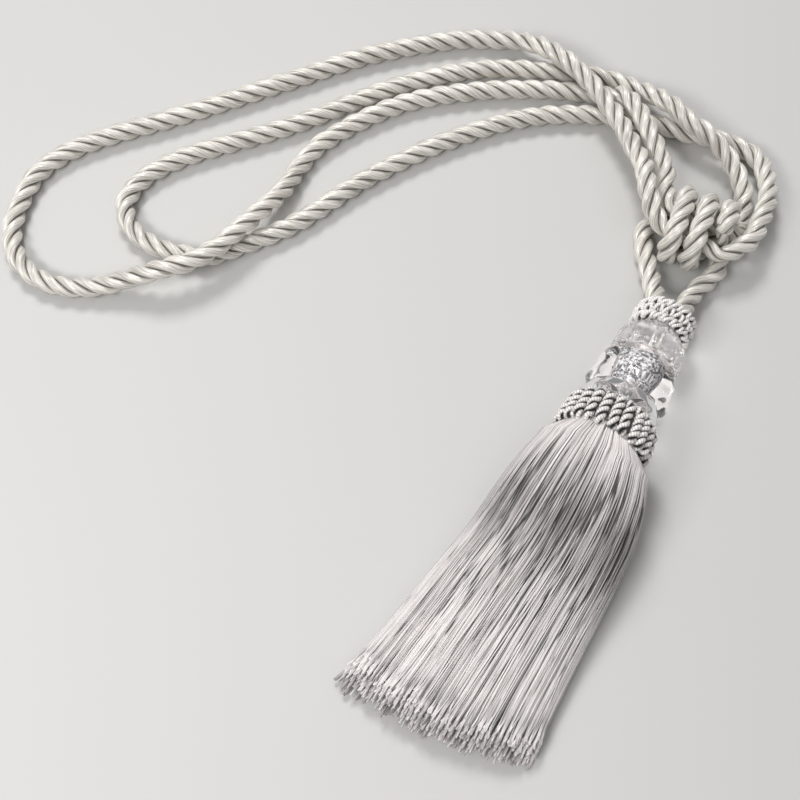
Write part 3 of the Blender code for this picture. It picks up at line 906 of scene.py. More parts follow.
@dataclass
class Cords:
    """The looped rope and the tassel's own cord, which meet in the knot.

    Attributes:
        knot: the knot.
    """

    knot: Knot = field(default_factory=Knot)
    stiffness: str = "limp"

    def build(self) -> list[bpy.types.Object]:
        """Makes the two cords.

        Returns:
            The pieces.
        """
        yarn = RopeYarn().make()
        rope = TwistedRope("loop_rope_twist", "loop_rope", self.knot.points(LOOP_ROUTE))
        made = [rope.build(yarn, self.knot.pressed(rope.line), self.stiffness)]
        route = self.knot.points(HANGER_START) + self.knot.wraps() + self.knot.points(HANGER_END)
        hanger = TwistedRope("hanger_cord_twist", "hanger_cord", route)
        made.append(hanger.build(yarn, self.knot.tucked(hanger.line), self.stiffness))
        LOG.info("rope %.3f m, tassel's cord %.3f m", rope.length, hanger.length)
        return made


@dataclass
class TwistedRope:
    """A rope of plies laid right-handed, flattened where it lies on the surface.

    Attributes:
        name: the piece's name.
        node: the node that it stands for.
        route: its route's points.
        diameter: across two crowns.
        pitch: one whole turn of a ply.
        plies: how many there are.
        ply_out: a ply's middle from the rope's.
        ply_deep: half a ply's thickness towards the rope's middle.
        ply_wide: half its width round the rope.
        ply_steps: sides of one ply that show.
        ring_step: from one ring of points to the next.
        measure_step: how finely the route's smooth curve is measured.
        sharp: edges sharper than this stay so: the valleys between the plies.
        line: its centre line with even steps, worked out.
        step: the length of a step, worked out.
    """

    name: str
    node: str
    route: list[Vector]
    diameter: float = 10.0 * MM
    pitch: float = 29.0 * MM
    plies: int = 3
    ply_out: float = 2.62 * MM
    ply_deep: float = 2.38 * MM
    ply_wide: float = 2.5 * MM
    ply_steps: int = 10
    ring_step: float = 1.0 * MM
    measure_step: float = 0.5 * MM
    sharp: float = math.radians(48)
    line: np.ndarray = field(init=False)
    step: float = field(init=False)

    def __post_init__(self) -> None:
        """Works out the centre line with even steps."""
        fine = self.smooth_curve()
        reached = along_tubes(fine[None])[0]
        count = round(reached[-1] / self.ring_step)
        even = np.linspace(0, reached[-1], count + 1)
        self.line = np.stack([np.interp(even, reached, fine[:, k]) for k in range(3)], axis=1)
        self.step = reached[-1] / count

    @property
    def length(self) -> float:
        """The rope's length along its middle."""
        return float(along_tubes(self.line[None])[0, -1])

    def smooth_curve(self) -> np.ndarray:
        """A fine smooth line through the route: a centripetal Catmull-Rom curve."""
        points = self.route
        ends = [points[0] * 2 - points[1], *points, points[-1] * 2 - points[-2]]
        line = []
        for p0, p1, p2, p3 in zip(ends, ends[1:], ends[2:], ends[3:]):
            t1 = math.sqrt((p1 - p0).length)
            t2 = t1 + math.sqrt((p2 - p1).length)
            t3 = t2 + math.sqrt((p3 - p2).length)
            count = max(2, int((p2 - p1).length / self.measure_step))
            for k in range(count):
                t = t1 + (t2 - t1) * k / count
                a1 = p0.lerp(p1, t / t1)
                a2 = p1.lerp(p2, (t - t1) / (t2 - t1))
                a3 = p2.lerp(p3, (t - t2) / (t3 - t2))
                b1 = a1.lerp(a2, t / t2)
                b2 = a2.lerp(a3, (t - t1) / (t3 - t1))
                line.append(b1.lerp(b2, (t - t1) / (t2 - t1)))
        line.append(points[-1])
        return np.array([tuple(point) for point in line])

    def section(self) -> tuple[np.ndarray, np.ndarray]:
        """The section's angles and reaches: ellipses side by side, from one valley round to the last."""
        ply = 2 * math.pi / self.plies
        within = -ply / 2 + ply * np.arange(self.ply_steps) / self.ply_steps
        a = np.cos(within) ** 2 / self.ply_deep**2 + np.sin(within) ** 2 / self.ply_wide**2
        b = -2 * self.ply_out * np.cos(within) / self.ply_deep**2
        c = self.ply_out**2 / self.ply_deep**2 - 1
        reach = (-b + np.sqrt(b**2 - 4 * a * c)) / (2 * a)
        angles = np.concatenate([within + ply * k for k in range(self.plies)])
        return angles, np.tile(reach, self.plies)

    def build(self, dressed: bpy.types.Material, share: np.ndarray, stiffness: str) -> bpy.types.Object:
        """Args:
            dressed: its finish.
            share: its thickness at each point of its line, as a share of its own.

        Returns:
            The piece.
        """
        side, other = (part[0] for part in frames(self.line[None], (0.0, 0.0, 1.0)))
        angles, reach = self.section()
        turned = angles[None] + (2 * math.pi * self.step / self.pitch * np.arange(len(self.line)))[:, None]
        out = side[:, None] * np.cos(turned)[..., None] + other[:, None] * np.sin(turned)[..., None]
        rings = self.line[:, None] + out * (reach[None] * share[:, None])[..., None]
        swept = Sweep(rings[None], along_tubes(self.line[None]) / MM)
        swept.rest()
        piece = new_object(self.name, swept_mesh(self.name, swept, self.sharp), dressed)
        fit_in(piece, Slot.ROPE, self.node)
        return piece


# ---- The head -------------------------------------------------------------------------------------


@dataclass(frozen=True)
class Ring:
    """A turned outline's row.

    Attributes:
        along: its place along the head.
        radius: its radius.
        turn: how far it is turned, in sides or loops.
    """

    along: float
    radius: float
    turn: float = 0.0


def rings_of(*rows: tuple[float, ...]) -> tuple[Ring, ...]:
    """Rings from rows in millimetres: along the head, the radius and, where there is one, the turn."""
    return tuple(Ring(row[0] * MM, row[1] * MM, *row[2:]) for row in rows)


@dataclass(frozen=True)
class HeadAxis:
    """The axis of the beads and trimmings, which tips down to the rope.

    Attributes:
        x: its place across.
        y: the skirt end of the wide trimming.
        up: its height there.
        tip: how far it tips.
    """

    x: float = 5.5 * MM
    y: float = 31.7 * MM
    up: float = 23.83 * MM
    tip: float = math.radians(6.3)

    def matrix(self) -> Matrix:
        """The head's own directions: Z along its axis to the rope, Y down to the surface."""
        turned = Matrix.Rotation(-math.radians(90) - self.tip, 4, "X")
        return Matrix.Translation((self.x, self.y, self.up)) @ turned

    def to_surface(self, along: float) -> float:
        """How far the surface is from the axis, at a distance along it."""
        return self.up / math.cos(self.tip) - along * math.tan(self.tip)

    def world(self, points: np.ndarray) -> np.ndarray:
        """Points of the head as points of the part."""
        turn = np.array(self.matrix())
        return points @ turn[:3, :3].T + turn[:3, 3]

    def polar(self, along: np.ndarray, radius: np.ndarray, angle: np.ndarray) -> np.ndarray:
        """Points of the part from places along, out from and round the axis."""
        return self.world(np.stack([radius * np.cos(angle), radius * np.sin(angle), along], axis=-1))


class OnHead:
    """A piece on the head's axis; a subclass makes its mesh.

    Attributes:
        name: the piece's name.
        slot: its material slot.
        nodes: the nodes that it stands for.
    """

    name: str
    slot: Slot
    nodes: tuple[str, ...]

    def mesh(self, axis: HeadAxis) -> bpy.types.Mesh:
        """The piece's mesh, in the part's directions."""
        raise NotImplementedError

    def build(self, axis: HeadAxis, dressed: bpy.types.Material) -> bpy.types.Object:
        """Makes the piece and ties it to the part.

        Args:
            axis: the head's axis.
            dressed: its finish.

        Returns:
            The piece.
        """
        return fit_in(new_object(self.name, self.mesh(axis), dressed), self.slot, *self.nodes)


@dataclass
class CutBead(OnHead):
    """A bead of clear moulded glass with soft facets, bored for the core.

    Attributes:
        name: the piece's name.
        nodes: the node that it stands for.
        outline: its rings; where two rings' turns differ, the facets between them are triangles.
        sides: corners of a ring.
        bore: radius of its bore.
        bore_share: sides of its bore for each corner.
        crisp: how crisp the edges between facets stay, up to 1.
        rim_crisp: and the rims' edges.
        softer: how often its faces are divided, to round them.
        flute: how much nearer the axis every other corner is.
        slot: its material slot.
    """

    name: str
    nodes: tuple[str, ...]
    outline: tuple[Ring, ...]
    sides: int
    bore: float = 8.5 * MM
    bore_share: int = 3
    crisp: float = 0.8
    rim_crisp: float = 0.9
    softer: int = 3
    flute: float = 0.0
    slot: Slot = Slot.GLASS

    def corners(self, made: bmesh.types.BMesh) -> list[list[bmesh.types.BMVert]]:
        """The outline's corners, with one side turned down to the surface.

        Args:
            made: the mesh that is being made.

        Returns:
            The corners, ring by ring.
        """
        step = 2 * math.pi / self.sides
        down = math.pi / 2 + step / 2
        rings = []
        for row in self.outline:
            crests = [Ring(row.along, row.radius - self.flute * (k % 2)) for k in range(self.sides)]
            turned = [down + step * (k + row.turn) for k in range(self.sides)]
            rings.append([made.verts.new(polar_point(*corner)) for corner in zip(crests, turned)])
        return rings

    def facets(self, made: bmesh.types.BMesh, rings: list[list[bmesh.types.BMVert]]) -> None:
        """Puts the facets between the rings.

        Args:
            made: the mesh that is being made.
            rings: its corners, ring by ring.
        """
        for row, (before, after) in enumerate(zip(rings, rings[1:])):
            shift = self.outline[row + 1].turn - self.outline[row].turn
            for k in range(self.sides):
                m = (k + 1) % self.sides
                if shift > 0:
                    made.faces.new((before[k], before[m], after[k]))
                    made.faces.new((before[m], after[m], after[k]))
                elif shift < 0:
                    made.faces.new((before[k], after[m], after[k]))
                    made.faces.new((before[k], before[m], after[m]))
                else:
                    made.faces.new((before[k], before[m], after[m], after[k]))

    def mesh(self, axis: HeadAxis) -> bpy.types.Mesh:
        """The bead's mesh, with its edges' creases and the face attribute `solid`.

        Args:
            axis: the head's axis.

        Returns:
            The mesh, in the part's directions.
        """
        made = bmesh.new()
        rings = self.corners(made)
        self.facets(made, rings)
        bore_sides = self.sides * self.bore_share
        turn = 2 * math.pi / bore_sides
        bores = []
        for row in (self.outline[0], self.outline[-1]):
            inner = Ring(row.along, self.bore)
            bores.append([made.verts.new(polar_point(inner, turn * k)) for k in range(bore_sides)])
        for ring in bores:
            for k in range(bore_sides):
                made.edges.new((ring[k], ring[(k + 1) % bore_sides]))
        solid = made.faces.layers.float.new("solid")
        for outer, inner in ((rings[0], bores[0]), (rings[-1], bores[1])):
            bmesh.ops.bridge_loops(made, edges=loop_edges(outer) + loop_edges(inner))
        for face in made.faces:
            face[solid] = 1.0
        bmesh.ops.bridge_loops(made, edges=loop_edges(bores[0]) + loop_edges(bores[1]))
        bmesh.ops.recalc_face_normals(made, faces=made.faces)
        crease = made.edges.layers.float.new("crease_edge")
        for edge in made.edges:
            edge[crease] = self.crisp
        for ring in (rings[0], rings[-1], *bores):
            for edge in loop_edges(ring):
                edge[crease] = self.rim_crisp
        mesh = bpy.data.meshes.new(self.name)
        made.to_mesh(mesh)
        made.free()
        mesh.transform(axis.matrix())
        mesh.shade_smooth()
        return mesh

    def build(self, axis: HeadAxis, dressed: bpy.types.Material) -> bpy.types.Object:
        """Makes the bead, rounds its facets a little and ties it to the part.

        Args:
            axis: the head's axis.
            dressed: its finish.

        Returns:
            The piece.
        """
        piece = super().build(axis, dressed)
        rounded = piece.modifiers.new("soft facets", "SUBSURF")
        rounded.levels = self.softer
        rounded.render_levels = self.softer
        piece.visible_shadow = False
        return piece


def polar_point(row: Ring, angle: float) -> tuple[float, float, float]:
    """A corner of a ring, in the head's own directions."""
    return row.radius * math.cos(angle), row.radius * math.sin(angle), row.along


def loop_edges(ring: list[bmesh.types.BMVert]) -> list[bmesh.types.BMEdge]:
    """The edges between the neighbours of a closed ring of points."""
    pairs = zip(ring, ring[1:] + ring[:1])
    return [edge for a, b in pairs for edge in a.link_edges if edge.other_vert(a) is b]


@dataclass
class Turned(OnHead):
    """A plain turned piece, hidden or half hidden in the head.

    Attributes:
        name: the piece's name.
        outline: its rings, from the skirt's end to the rope's.
        slot: its material slot.
        nodes: the nodes that it stands for.
        sides: sides of a ring.
        sharp: edges sharper than this stay so.
    """

    name: str
    outline: tuple[Ring, ...]
    slot: Slot
    nodes: tuple[str, ...] = ()
    sides: int = 64
    sharp: float = math.radians(35)

    def mesh(self, axis: HeadAxis) -> bpy.types.Mesh:
        """The piece's mesh, in the part's directions."""
        angle = 2 * math.pi * np.arange(self.sides) / self.sides
        along = np.array([row.along for row in self.outline])[:, None]
        radius = np.array([row.radius for row in self.outline])[:, None]
        along, radius, angle = np.broadcast_arrays(along, radius, angle[None])
        rings = axis.polar(along, radius, angle)
        spine = axis.polar(along[:, 0], radius[:, 0], angle[:, 0])
        return swept_mesh(self.name, Sweep(rings[None], along_tubes(spine[None]) / MM), self.sharp)


@dataclass
class Beads:
    """The three clear beads, the crackled core that shows through them, and its cord.

    Attributes:
        wide_low: the wide bead's outline at the collar.
        wide_reach: where it is widest: places along, in millimetres, and how far it reaches there, as
            a share of the way from the axis to the surface.
        wide_top: its outline at the upper bead.
        wide_sides: corners round it.
        upper: the upper bead's outline.
        upper_sides: corners round it.
        collar: the collar's outline.
        collar_sides: corners round it.
        core: the core's outline.
        cord: the outline of the cord that the core hangs on.
        cord_sides: its sides.
    """

    wide_low: tuple[Ring, ...] = rings_of((26.5, 17.6))
    wide_reach: tuple[tuple[float, float], ...] = ((31.2, 1.02), (38.0, 1.04))
    wide_top: tuple[Ring, ...] = rings_of((44.6, 19.2, 0.5), (48.4, 16.6))
    wide_sides: int = 14
    upper: tuple[Ring, ...] = rings_of((48.7, 16.3), (50.6, 17.0), (55.0, 16.8), (60.0, 16.0), (64.2, 12.8))
    upper_sides: int = 36
    collar: tuple[Ring, ...] = rings_of((17.8, 17.4), (22.0, 18.1, 0.5), (26.2, 17.0))
    collar_sides: int = 22
    core: tuple[Ring, ...] = rings_of(
        (17.7, 8.0),
        (26.5, 8.0),
        (28.0, 6.6),
        (30.5, 7.6),
        (34.0, 8.15),
        (38.0, 8.2),
        (44.0, 8.15),
        (46.6, 7.8),
        (47.3, 7.0),
    )
    cord: tuple[Ring, ...] = rings_of((47.0, 0.9), (66.0, 0.9))
    cord_sides: int = 12

    def cut(self, axis: HeadAxis) -> tuple[CutBead, CutBead, CutBead]:
        """The three clear beads, before they are made.

        Args:
            axis: the head's axis.

        Returns:
            The wide bead, the upper bead and the collar.
        """
        widest = tuple(
            Ring(along * MM, axis.to_surface(along * MM) * share, 0.5) for along, share in self.wide_reach
        )
        wide = CutBead(
            "wide_bead_cut",
            ("wide_bead",),
            self.wide_low + widest + self.wide_top,
            self.wide_sides,
            bore=8.4 * MM,
            crisp=0.35,
            flute=1.6 * MM,
        )
        upper = CutBead(
            "upper_bead_cut",
            ("upper_bead",),
            self.upper,
            self.upper_sides,
            bore=1.3 * MM,
            bore_share=1,
            crisp=0.5,
            softer=2,
            flute=0.9 * MM,
        )
        collar = CutBead("collar_bead_cut", ("collar_bead",), self.collar, self.collar_sides, crisp=0.95)
        return wide, upper, collar

    def build(self, axis: HeadAxis) -> list[bpy.types.Object]:
        """Makes the beads and what they are threaded on.

        Args:
            axis: the head's axis.

        Returns:
            The pieces.
        """
        clear = ClearGlass().make()
        milky = ClearGlass("milky_glass", roughness=0.10, clear=0.93).make()
        wide, upper, collar = self.cut(axis)
        core = Turned("crackled_core", self.core, Slot.FOIL, ("bead_core",))
        cord = Turned("threading_cord", self.cord, Slot.TRIMMING, sides=self.cord_sides)
        return [
            wide.build(axis, clear),
            upper.build(axis, milky),
            collar.build(axis, clear),
            core.build(axis, CrackledFoil().make()),
            cord.build(axis, PALE_YARN.make()),
        ]


@dataclass
class WideTrimming(OnHead):
    """The ruff over the skirt: two-ply wrapped cords side by side, each arching over the ring.

    Attributes:
        name: the piece's name.
        nodes: the node that it stands for.
        slot: its material slot.
        cords: how many cords there are round the ring.
        arch: the cords' middle line, from the collar bead over the ring to the skirt.
        ply_radius: radius of a ply.
        ply_out: a ply's middle from the cord's.
        pitch: one whole turn of a ply.
        uneven_pitch: the least and the most of it that a cord has.
        rings: rings of points along a ply.
        sides: sides of a ply.
        lean: how far a cord leans round the ring, in radians.
        uneven_lean: the least and the most of it that a cord has.
        uneven_place: how far a cord is from its even place, in cords.
        stray: how far it strays to the side, in radians.
        sunk: how far it may lie nearer the axis, in millimetres.
        crevice_shade_out: where the painted shade between two plies is darkest, as a share of ply_out.
        crevice_shade_ease: from there to its full tone, as a share of ply_radius.
        first_side: roughly the direction of a ply's first side.
        sharp: edges sharper than this stay so.
        seed: picks the unevenness.
    """

    name: str = "wide_trimming_cords"
    nodes: tuple[str, ...] = ("wide_trimming",)
    slot: Slot = Slot.TRIMMING
    cords: int = 24
    arch: tuple[Ring, ...] = rings_of(
        (14.4, 17.2),
        (15.7, 18.5),
        (14.3, 19.9),
        (11.5, 20.3),
        (8.0, 20.6),
        (4.5, 20.9),
        (2.2, 20.7),
        (1.5, 19.6),
        (2.2, 18.4),
    )
    ply_radius: float = 1.2 * MM
    ply_out: float = 1.14 * MM
    pitch: float = 7.2 * MM
    uneven_pitch: tuple[float, float] = (0.85, 1.2)
    rings: int = 36
    sides: int = 9
    lean: float = math.radians(5)
    uneven_lean: tuple[float, float] = (0.2, 1.8)
    uneven_place: float = 0.08
    stray: float = 0.012
    sunk: float = 0.5
    crevice_shade_out: float = 1.35
    crevice_shade_ease: float = 0.6
    first_side: tuple[float, float, float] = (0.3, 0.4, 0.85)
    sharp: float = math.radians(70)
    seed: int = 11

    def plies(self, axis: HeadAxis) -> tuple[np.ndarray, np.ndarray]:
        """The centre lines of the plies.

        Args:
            axis: the head's axis.

        Returns:
            The plies' lines and, for each, its cord's: both as (ply, ring, 3).
        """
        chance = np.random.default_rng(self.seed)
        rows = len(self.arch)
        shift = chance.uniform(-self.uneven_place, self.uneven_place, self.cords)
        turn = 2 * math.pi * (np.arange(self.cords) + shift) / self.cords
        lean = self.lean * chance.uniform(*self.uneven_lean, self.cords)
        drift = np.linspace(-0.5, 0.5, rows)[None] * lean[:, None]
        angle = turn[:, None] + drift + chance.normal(0, self.stray, (self.cords, rows))
        along = np.array([row.along for row in self.arch])[None] + np.zeros_like(angle)
        sunk = chance.uniform(0, self.sunk, angle.shape) * MM
        radius = np.array([row.radius for row in self.arch])[None] - sunk
        cords = smooth_through(axis.polar(along, radius, angle), self.rings)
        side, other = frames(cords, self.first_side)
        gone = along_tubes(cords)
        phase = chance.uniform(0, 2 * math.pi, self.cords)[:, None]
        pitch = self.pitch * chance.uniform(*self.uneven_pitch, self.cords)[:, None]
        made = []
        for ply in range(2):
            around = phase + 2 * math.pi * gone / pitch + math.pi * ply
            out = side * np.cos(around)[..., None] + other * np.sin(around)[..., None]
            made.append(cords + self.ply_out * out)
        return np.concatenate(made), np.concatenate([cords, cords])

    def mesh(self, axis: HeadAxis) -> bpy.types.Mesh:
        """The cords' mesh, with a low tone, painted shade, deep between two plies."""
        plies, cords = self.plies(axis)
        swept = round_tubes(plies, self.ply_radius, self.sides, self.first_side)
        swept.rest()
        # Painted shade: the side of each ply that faces its cord's middle gets a low tone.
        out = np.linalg.norm(swept.rings - cords[:, :, None], axis=3)
        tones = ramp(out, self.crevice_shade_out * self.ply_out, self.crevice_shade_ease * self.ply_radius)
        return swept_mesh(self.name, swept, self.sharp, tones)


@dataclass
class TopTrimming(OnHead):
    """Rows of small wrapped loops round the mouth that the rope's ends go into.

    Attributes:
        name: the piece's name.
        nodes: the node that it stands for.
        slot: its material slot.
        rows: each row's place along the head, and the radius of its loops' middles.
        slants: how far each row's loops lean round the head from foot to top, in radians.
        petals: groups of loops in a row.
        strands: loops side by side in a group.
        packed: how much of its share of the row a group takes up.
        link: how much of its share the cord takes to cross to the next group.
        loop_out: half a loop's height out from the head, at the cord's middle.
        loop_long: half its length along the head.
        uneven_size: the least and the most of that size that a loop has.
        uneven_slant: how far a loop's slant may differ, in radians.
        cord_radius: radius of the cord.
        points_a_loop: rings of points in one loop.
        sides: sides of the cord.
        deep: how far under a loop's middle the painted shade is darkest, as a share of loop_out.
        first_side: roughly the direction of the cord's first side.
        sharp: edges sharper than this stay so.
        seed: picks the unevenness.
    """

    name: str = "top_trimming_loops"
    nodes: tuple[str, ...] = ("top_trimming",)
    slot: Slot = Slot.TRIMMING
    rows: tuple[Ring, ...] = rings_of((67.2, 12.6), (71.6, 12.9, 0.5), (75.8, 12.6))
    slants: tuple[float, ...] = (0.03, -0.03, 0.03)
    petals: int = 17
    strands: int = 2
    packed: float = 0.56
    link: float = 0.08
    loop_out: float = 1.5 * MM
    loop_long: float = 1.6 * MM
    uneven_size: tuple[float, float] = (0.85, 1.15)
    uneven_slant: float = 0.05
    cord_radius: float = 0.84 * MM
    points_a_loop: int = 16
    sides: int = 7
    deep: float = 0.6
    first_side: tuple[float, float, float] = (1.0, 0.2, 0.1)
    sharp: float = math.radians(70)
    seed: int = 5

    def row(self, axis: HeadAxis, ring: Ring, slant: float, chance: np.random.Generator) -> np.ndarray:
        """One row's centre line, as (1, ring, 3).

        Args:
            axis: the head's axis.
            ring: the row's place.
            slant: how far a loop leans round the head from its foot to its top, in radians.
            chance: the source of unevenness.

        Returns:
            The centre line of the whole row's cord.
        """
        loops = self.petals * self.strands
        count = loops * self.points_a_loop
        loop = np.arange(count) / self.points_a_loop
        petal = np.floor(loop / self.strands)
        within = loop / self.strands - petal
        stretch = ramp(np.abs(within - 0.5), 0.5 - self.link, self.link) * np.sign(within - 0.5)
        packed = 0.5 + (within - 0.5) * self.packed + (1 - self.packed) * 0.5 * stretch
        big = np.repeat(chance.uniform(*self.uneven_size, loops), self.points_a_loop)
        bend = np.repeat(chance.uniform(-0.5, 0.5, loops), self.points_a_loop)
        phase = 2 * math.pi * loop
        angle = 2 * math.pi * (petal + packed + ring.turn) / self.petals
        angle = angle + (slant + self.uneven_slant * bend) * np.sin(phase)
        radius = ring.radius + self.loop_out * big * np.cos(phase)
        along = ring.along + self.loop_long * big * np.sin(phase)
        return axis.polar(along, radius, angle)[None]

    def mesh(self, axis: HeadAxis) -> bpy.types.Mesh:
        """The loops' mesh, with a low tone, painted shade, deep between two loops."""
        chance = np.random.default_rng(self.seed)
        lines = [self.row(axis, ring, slant, chance) for ring, slant in zip(self.rows, self.slants)]
        swept = round_tubes(np.concatenate(lines), self.cord_radius, self.sides, self.first_side)
        swept.rest()
        turn = np.array(axis.matrix())
        flat = (swept.rings - turn[:3, 3]) @ turn[:3, :3]
        out = np.linalg.norm(flat[..., :2], axis=3)
        # Painted shade: points nearer the axis than the loops' middles get a low tone.
        tones = ramp(out, self.rows[0].radius - self.deep * self.loop_out, self.loop_out)
        return swept_mesh(self.name, swept, self.sharp, tones)


@dataclass
class Trimmings:
    """The two trimmings and what backs them.

    Attributes:
        bundle: outline of the bound bundle under the wide trimming.
        mouth: outline of the cup that the rope's ends go into.
    """

    bundle: tuple[Ring, ...] = rings_of((-0.3, 18.6), (0.2, 18.9), (12.5, 18.9), (16.9, 16.6), (17.3, 15.0))
    mouth: tuple[Ring, ...] = rings_of(
        (66.2, 10.45),
        (78.0, 10.45),
        (78.2, 10.75),
        (78.0, 11.2),
        (64.8, 11.2),
        (64.6, 10.9),
        (64.6, 3.0),
        (66.2, 3.0),
    )

    def build(self, axis: HeadAxis) -> list[bpy.types.Object]:
        """Makes the trimmings, the bundle and the mouth.

        Args:
            axis: the head's axis.

        Returns:
            The pieces.
        """
        looped = WrappedYarn("looped_trimming", dark=(0.62, 0.61, 0.59), pitch=0.9, relief=0.12 * MM)
        return [
            WideTrimming().build(axis, WrappedYarn().make()),
            TopTrimming().build(axis, looped.make()),
            # The bundle wears the near-black yarn: painted shade.
            Turned("bound_bundle", self.bundle, Slot.TRIMMING).build(axis, SHADE_DARK_YARN.make()),
            Turned("trimming_mouth", self.mouth, Slot.TRIMMING).build(axis, PALE_YARN.make()),
        ]


# ---- The skirt ------------------------------------------------------------------------------------


@dataclass(frozen=True)
class Section:
    """The skirt's outline at one place along Y.

    Attributes:
        y: the place.
        left: its left edge.
        right: its right edge.
        low: height of its underside's middle where the bundle is round.
        top: height of its top's middle.
        round: how far the underside is the round bundle (1) or lies flat on the surface (0).
    """

    y: float
    left: float
    right: float
    low: float
    top: float
    round: float


@dataclass(frozen=True)
class CutEnd:
    """Where the skirt's threads are cut off.

    Attributes:
        y: the cut end at its longest.
        x: where it is longest.
        bow: its bow, in metres of length lost for each square metre to the side.
        longest_up: how far up in the skirt the longest threads are, from 0 to 1.
        stagger: how much shorter the topmost threads are than the longest.
        stagger_ease: the power by which they get shorter.
        tucked_shorter: how much shorter the lowest threads are.
        uneven_lock: how unevenly long the locks are.
        uneven_thread: and the threads in a lock.
        past: how far a thread may go past the cut.
    """

    y: float = -110.6 * MM
    x: float = -16.5 * MM
    bow: float = 3.75
    longest_up: float = 0.25
    stagger: float = 8.0 * MM
    stagger_ease: float = 1.5
    tucked_shorter: float = 7.0 * MM
    uneven_lock: float = 1.1 * MM
    uneven_thread: float = 0.9 * MM
    past: float = 1.6 * MM


@dataclass(frozen=True)
class Waves:
    """How far the threads leave a straight run: places as Skirt.place takes them.

    Attributes:
        sizes: each thread's slow waves to the side.
        least: the shortest wave.
        most: the longest wave.
        ease_in: how quickly the waves grow from the root.
        at_root: their share at the root.
        lock_aside: how far a lock goes to the side by the cut end.
        thread_aside: and a thread in it.
        aside_ease: the power by which they go there.
        lock_up: how far a lock rises or sinks.
        lock_up_ease: how quickly it does so from the root.
        thread_up: and a thread in it, by the cut end.
        lowest: the least place upward that a thread has after that.
        highest: the most.
    """

    sizes: tuple[float, ...] = (0.005, 0.006)
    least: float = 50 * MM
    most: float = 120 * MM
    ease_in: float = 3
    at_root: float = 0.15
    lock_aside: float = 0.028
    thread_aside: float = 0.011
    aside_ease: float = 1.3
    lock_up: float = 0.03
    lock_up_ease: float = 2
    thread_up: float = 0.02
    lowest: float = 0.01
    highest: float = 1.04


@dataclass(frozen=True)
class Tufts:
    """The small tufts that the threads' tips gather in.

    Attributes:
        width: a tuft's width.
        height: its height, as a share of the width.
        uneven: how far a row of tufts is shifted, in tufts.
        reach: how far up from the tip a thread is drawn in.
        pull: how much of the way to the tuft's middle it goes.
        pull_ease: the power by which it goes there.
        stagger: how far a tuft may be longer or shorter.
        stray: how far a tip may be from its place.
        stray_share: that, along X, Y and Z.
    """

    width: float = 2.3 * MM
    height: float = 0.85
    uneven: float = 0.15
    reach: float = 9.0 * MM
    pull: float = 0.84
    pull_ease: float = 1.4
    stagger: float = 1.9 * MM
    stray: float = 0.34 * MM
    stray_share: tuple[float, float, float] = (1.0, 0.3, 0.8)

    def gather(self, chance: np.random.Generator, lines: np.ndarray) -> np.ndarray:
        """Draws the tips together, moving the lines' last rings.

        Args:
            chance: the source of unevenness.
            lines: the threads' points, as (thread, ring, 3), which it moves.

        Returns:
            Each thread's number for its tuft, from -1 to 1.
        """
        tips = lines[:, -1, ::2]
        row = np.floor(tips[:, 1] / (self.height * self.width)).astype(int)
        shift = chance.uniform(-self.uneven, self.uneven, row.max() + 1)[row]
        column = np.floor(tips[:, 0] / self.width + shift).astype(int)
        middle_x = (column + 0.5 - shift) * self.width
        middle = np.stack([middle_x, (row + 0.5) * self.height * self.width], axis=-1)
        pull = self.pull * np.clip(1 - from_tip(lines) / self.reach, 0, 1) ** self.pull_ease
        lines[..., ::2] += pull[..., None] * (middle - tips)[:, None]
        column = column - column.min()
        return chance.uniform(-1, 1, (row.max() + 1, column.max() + 1))[row, column]


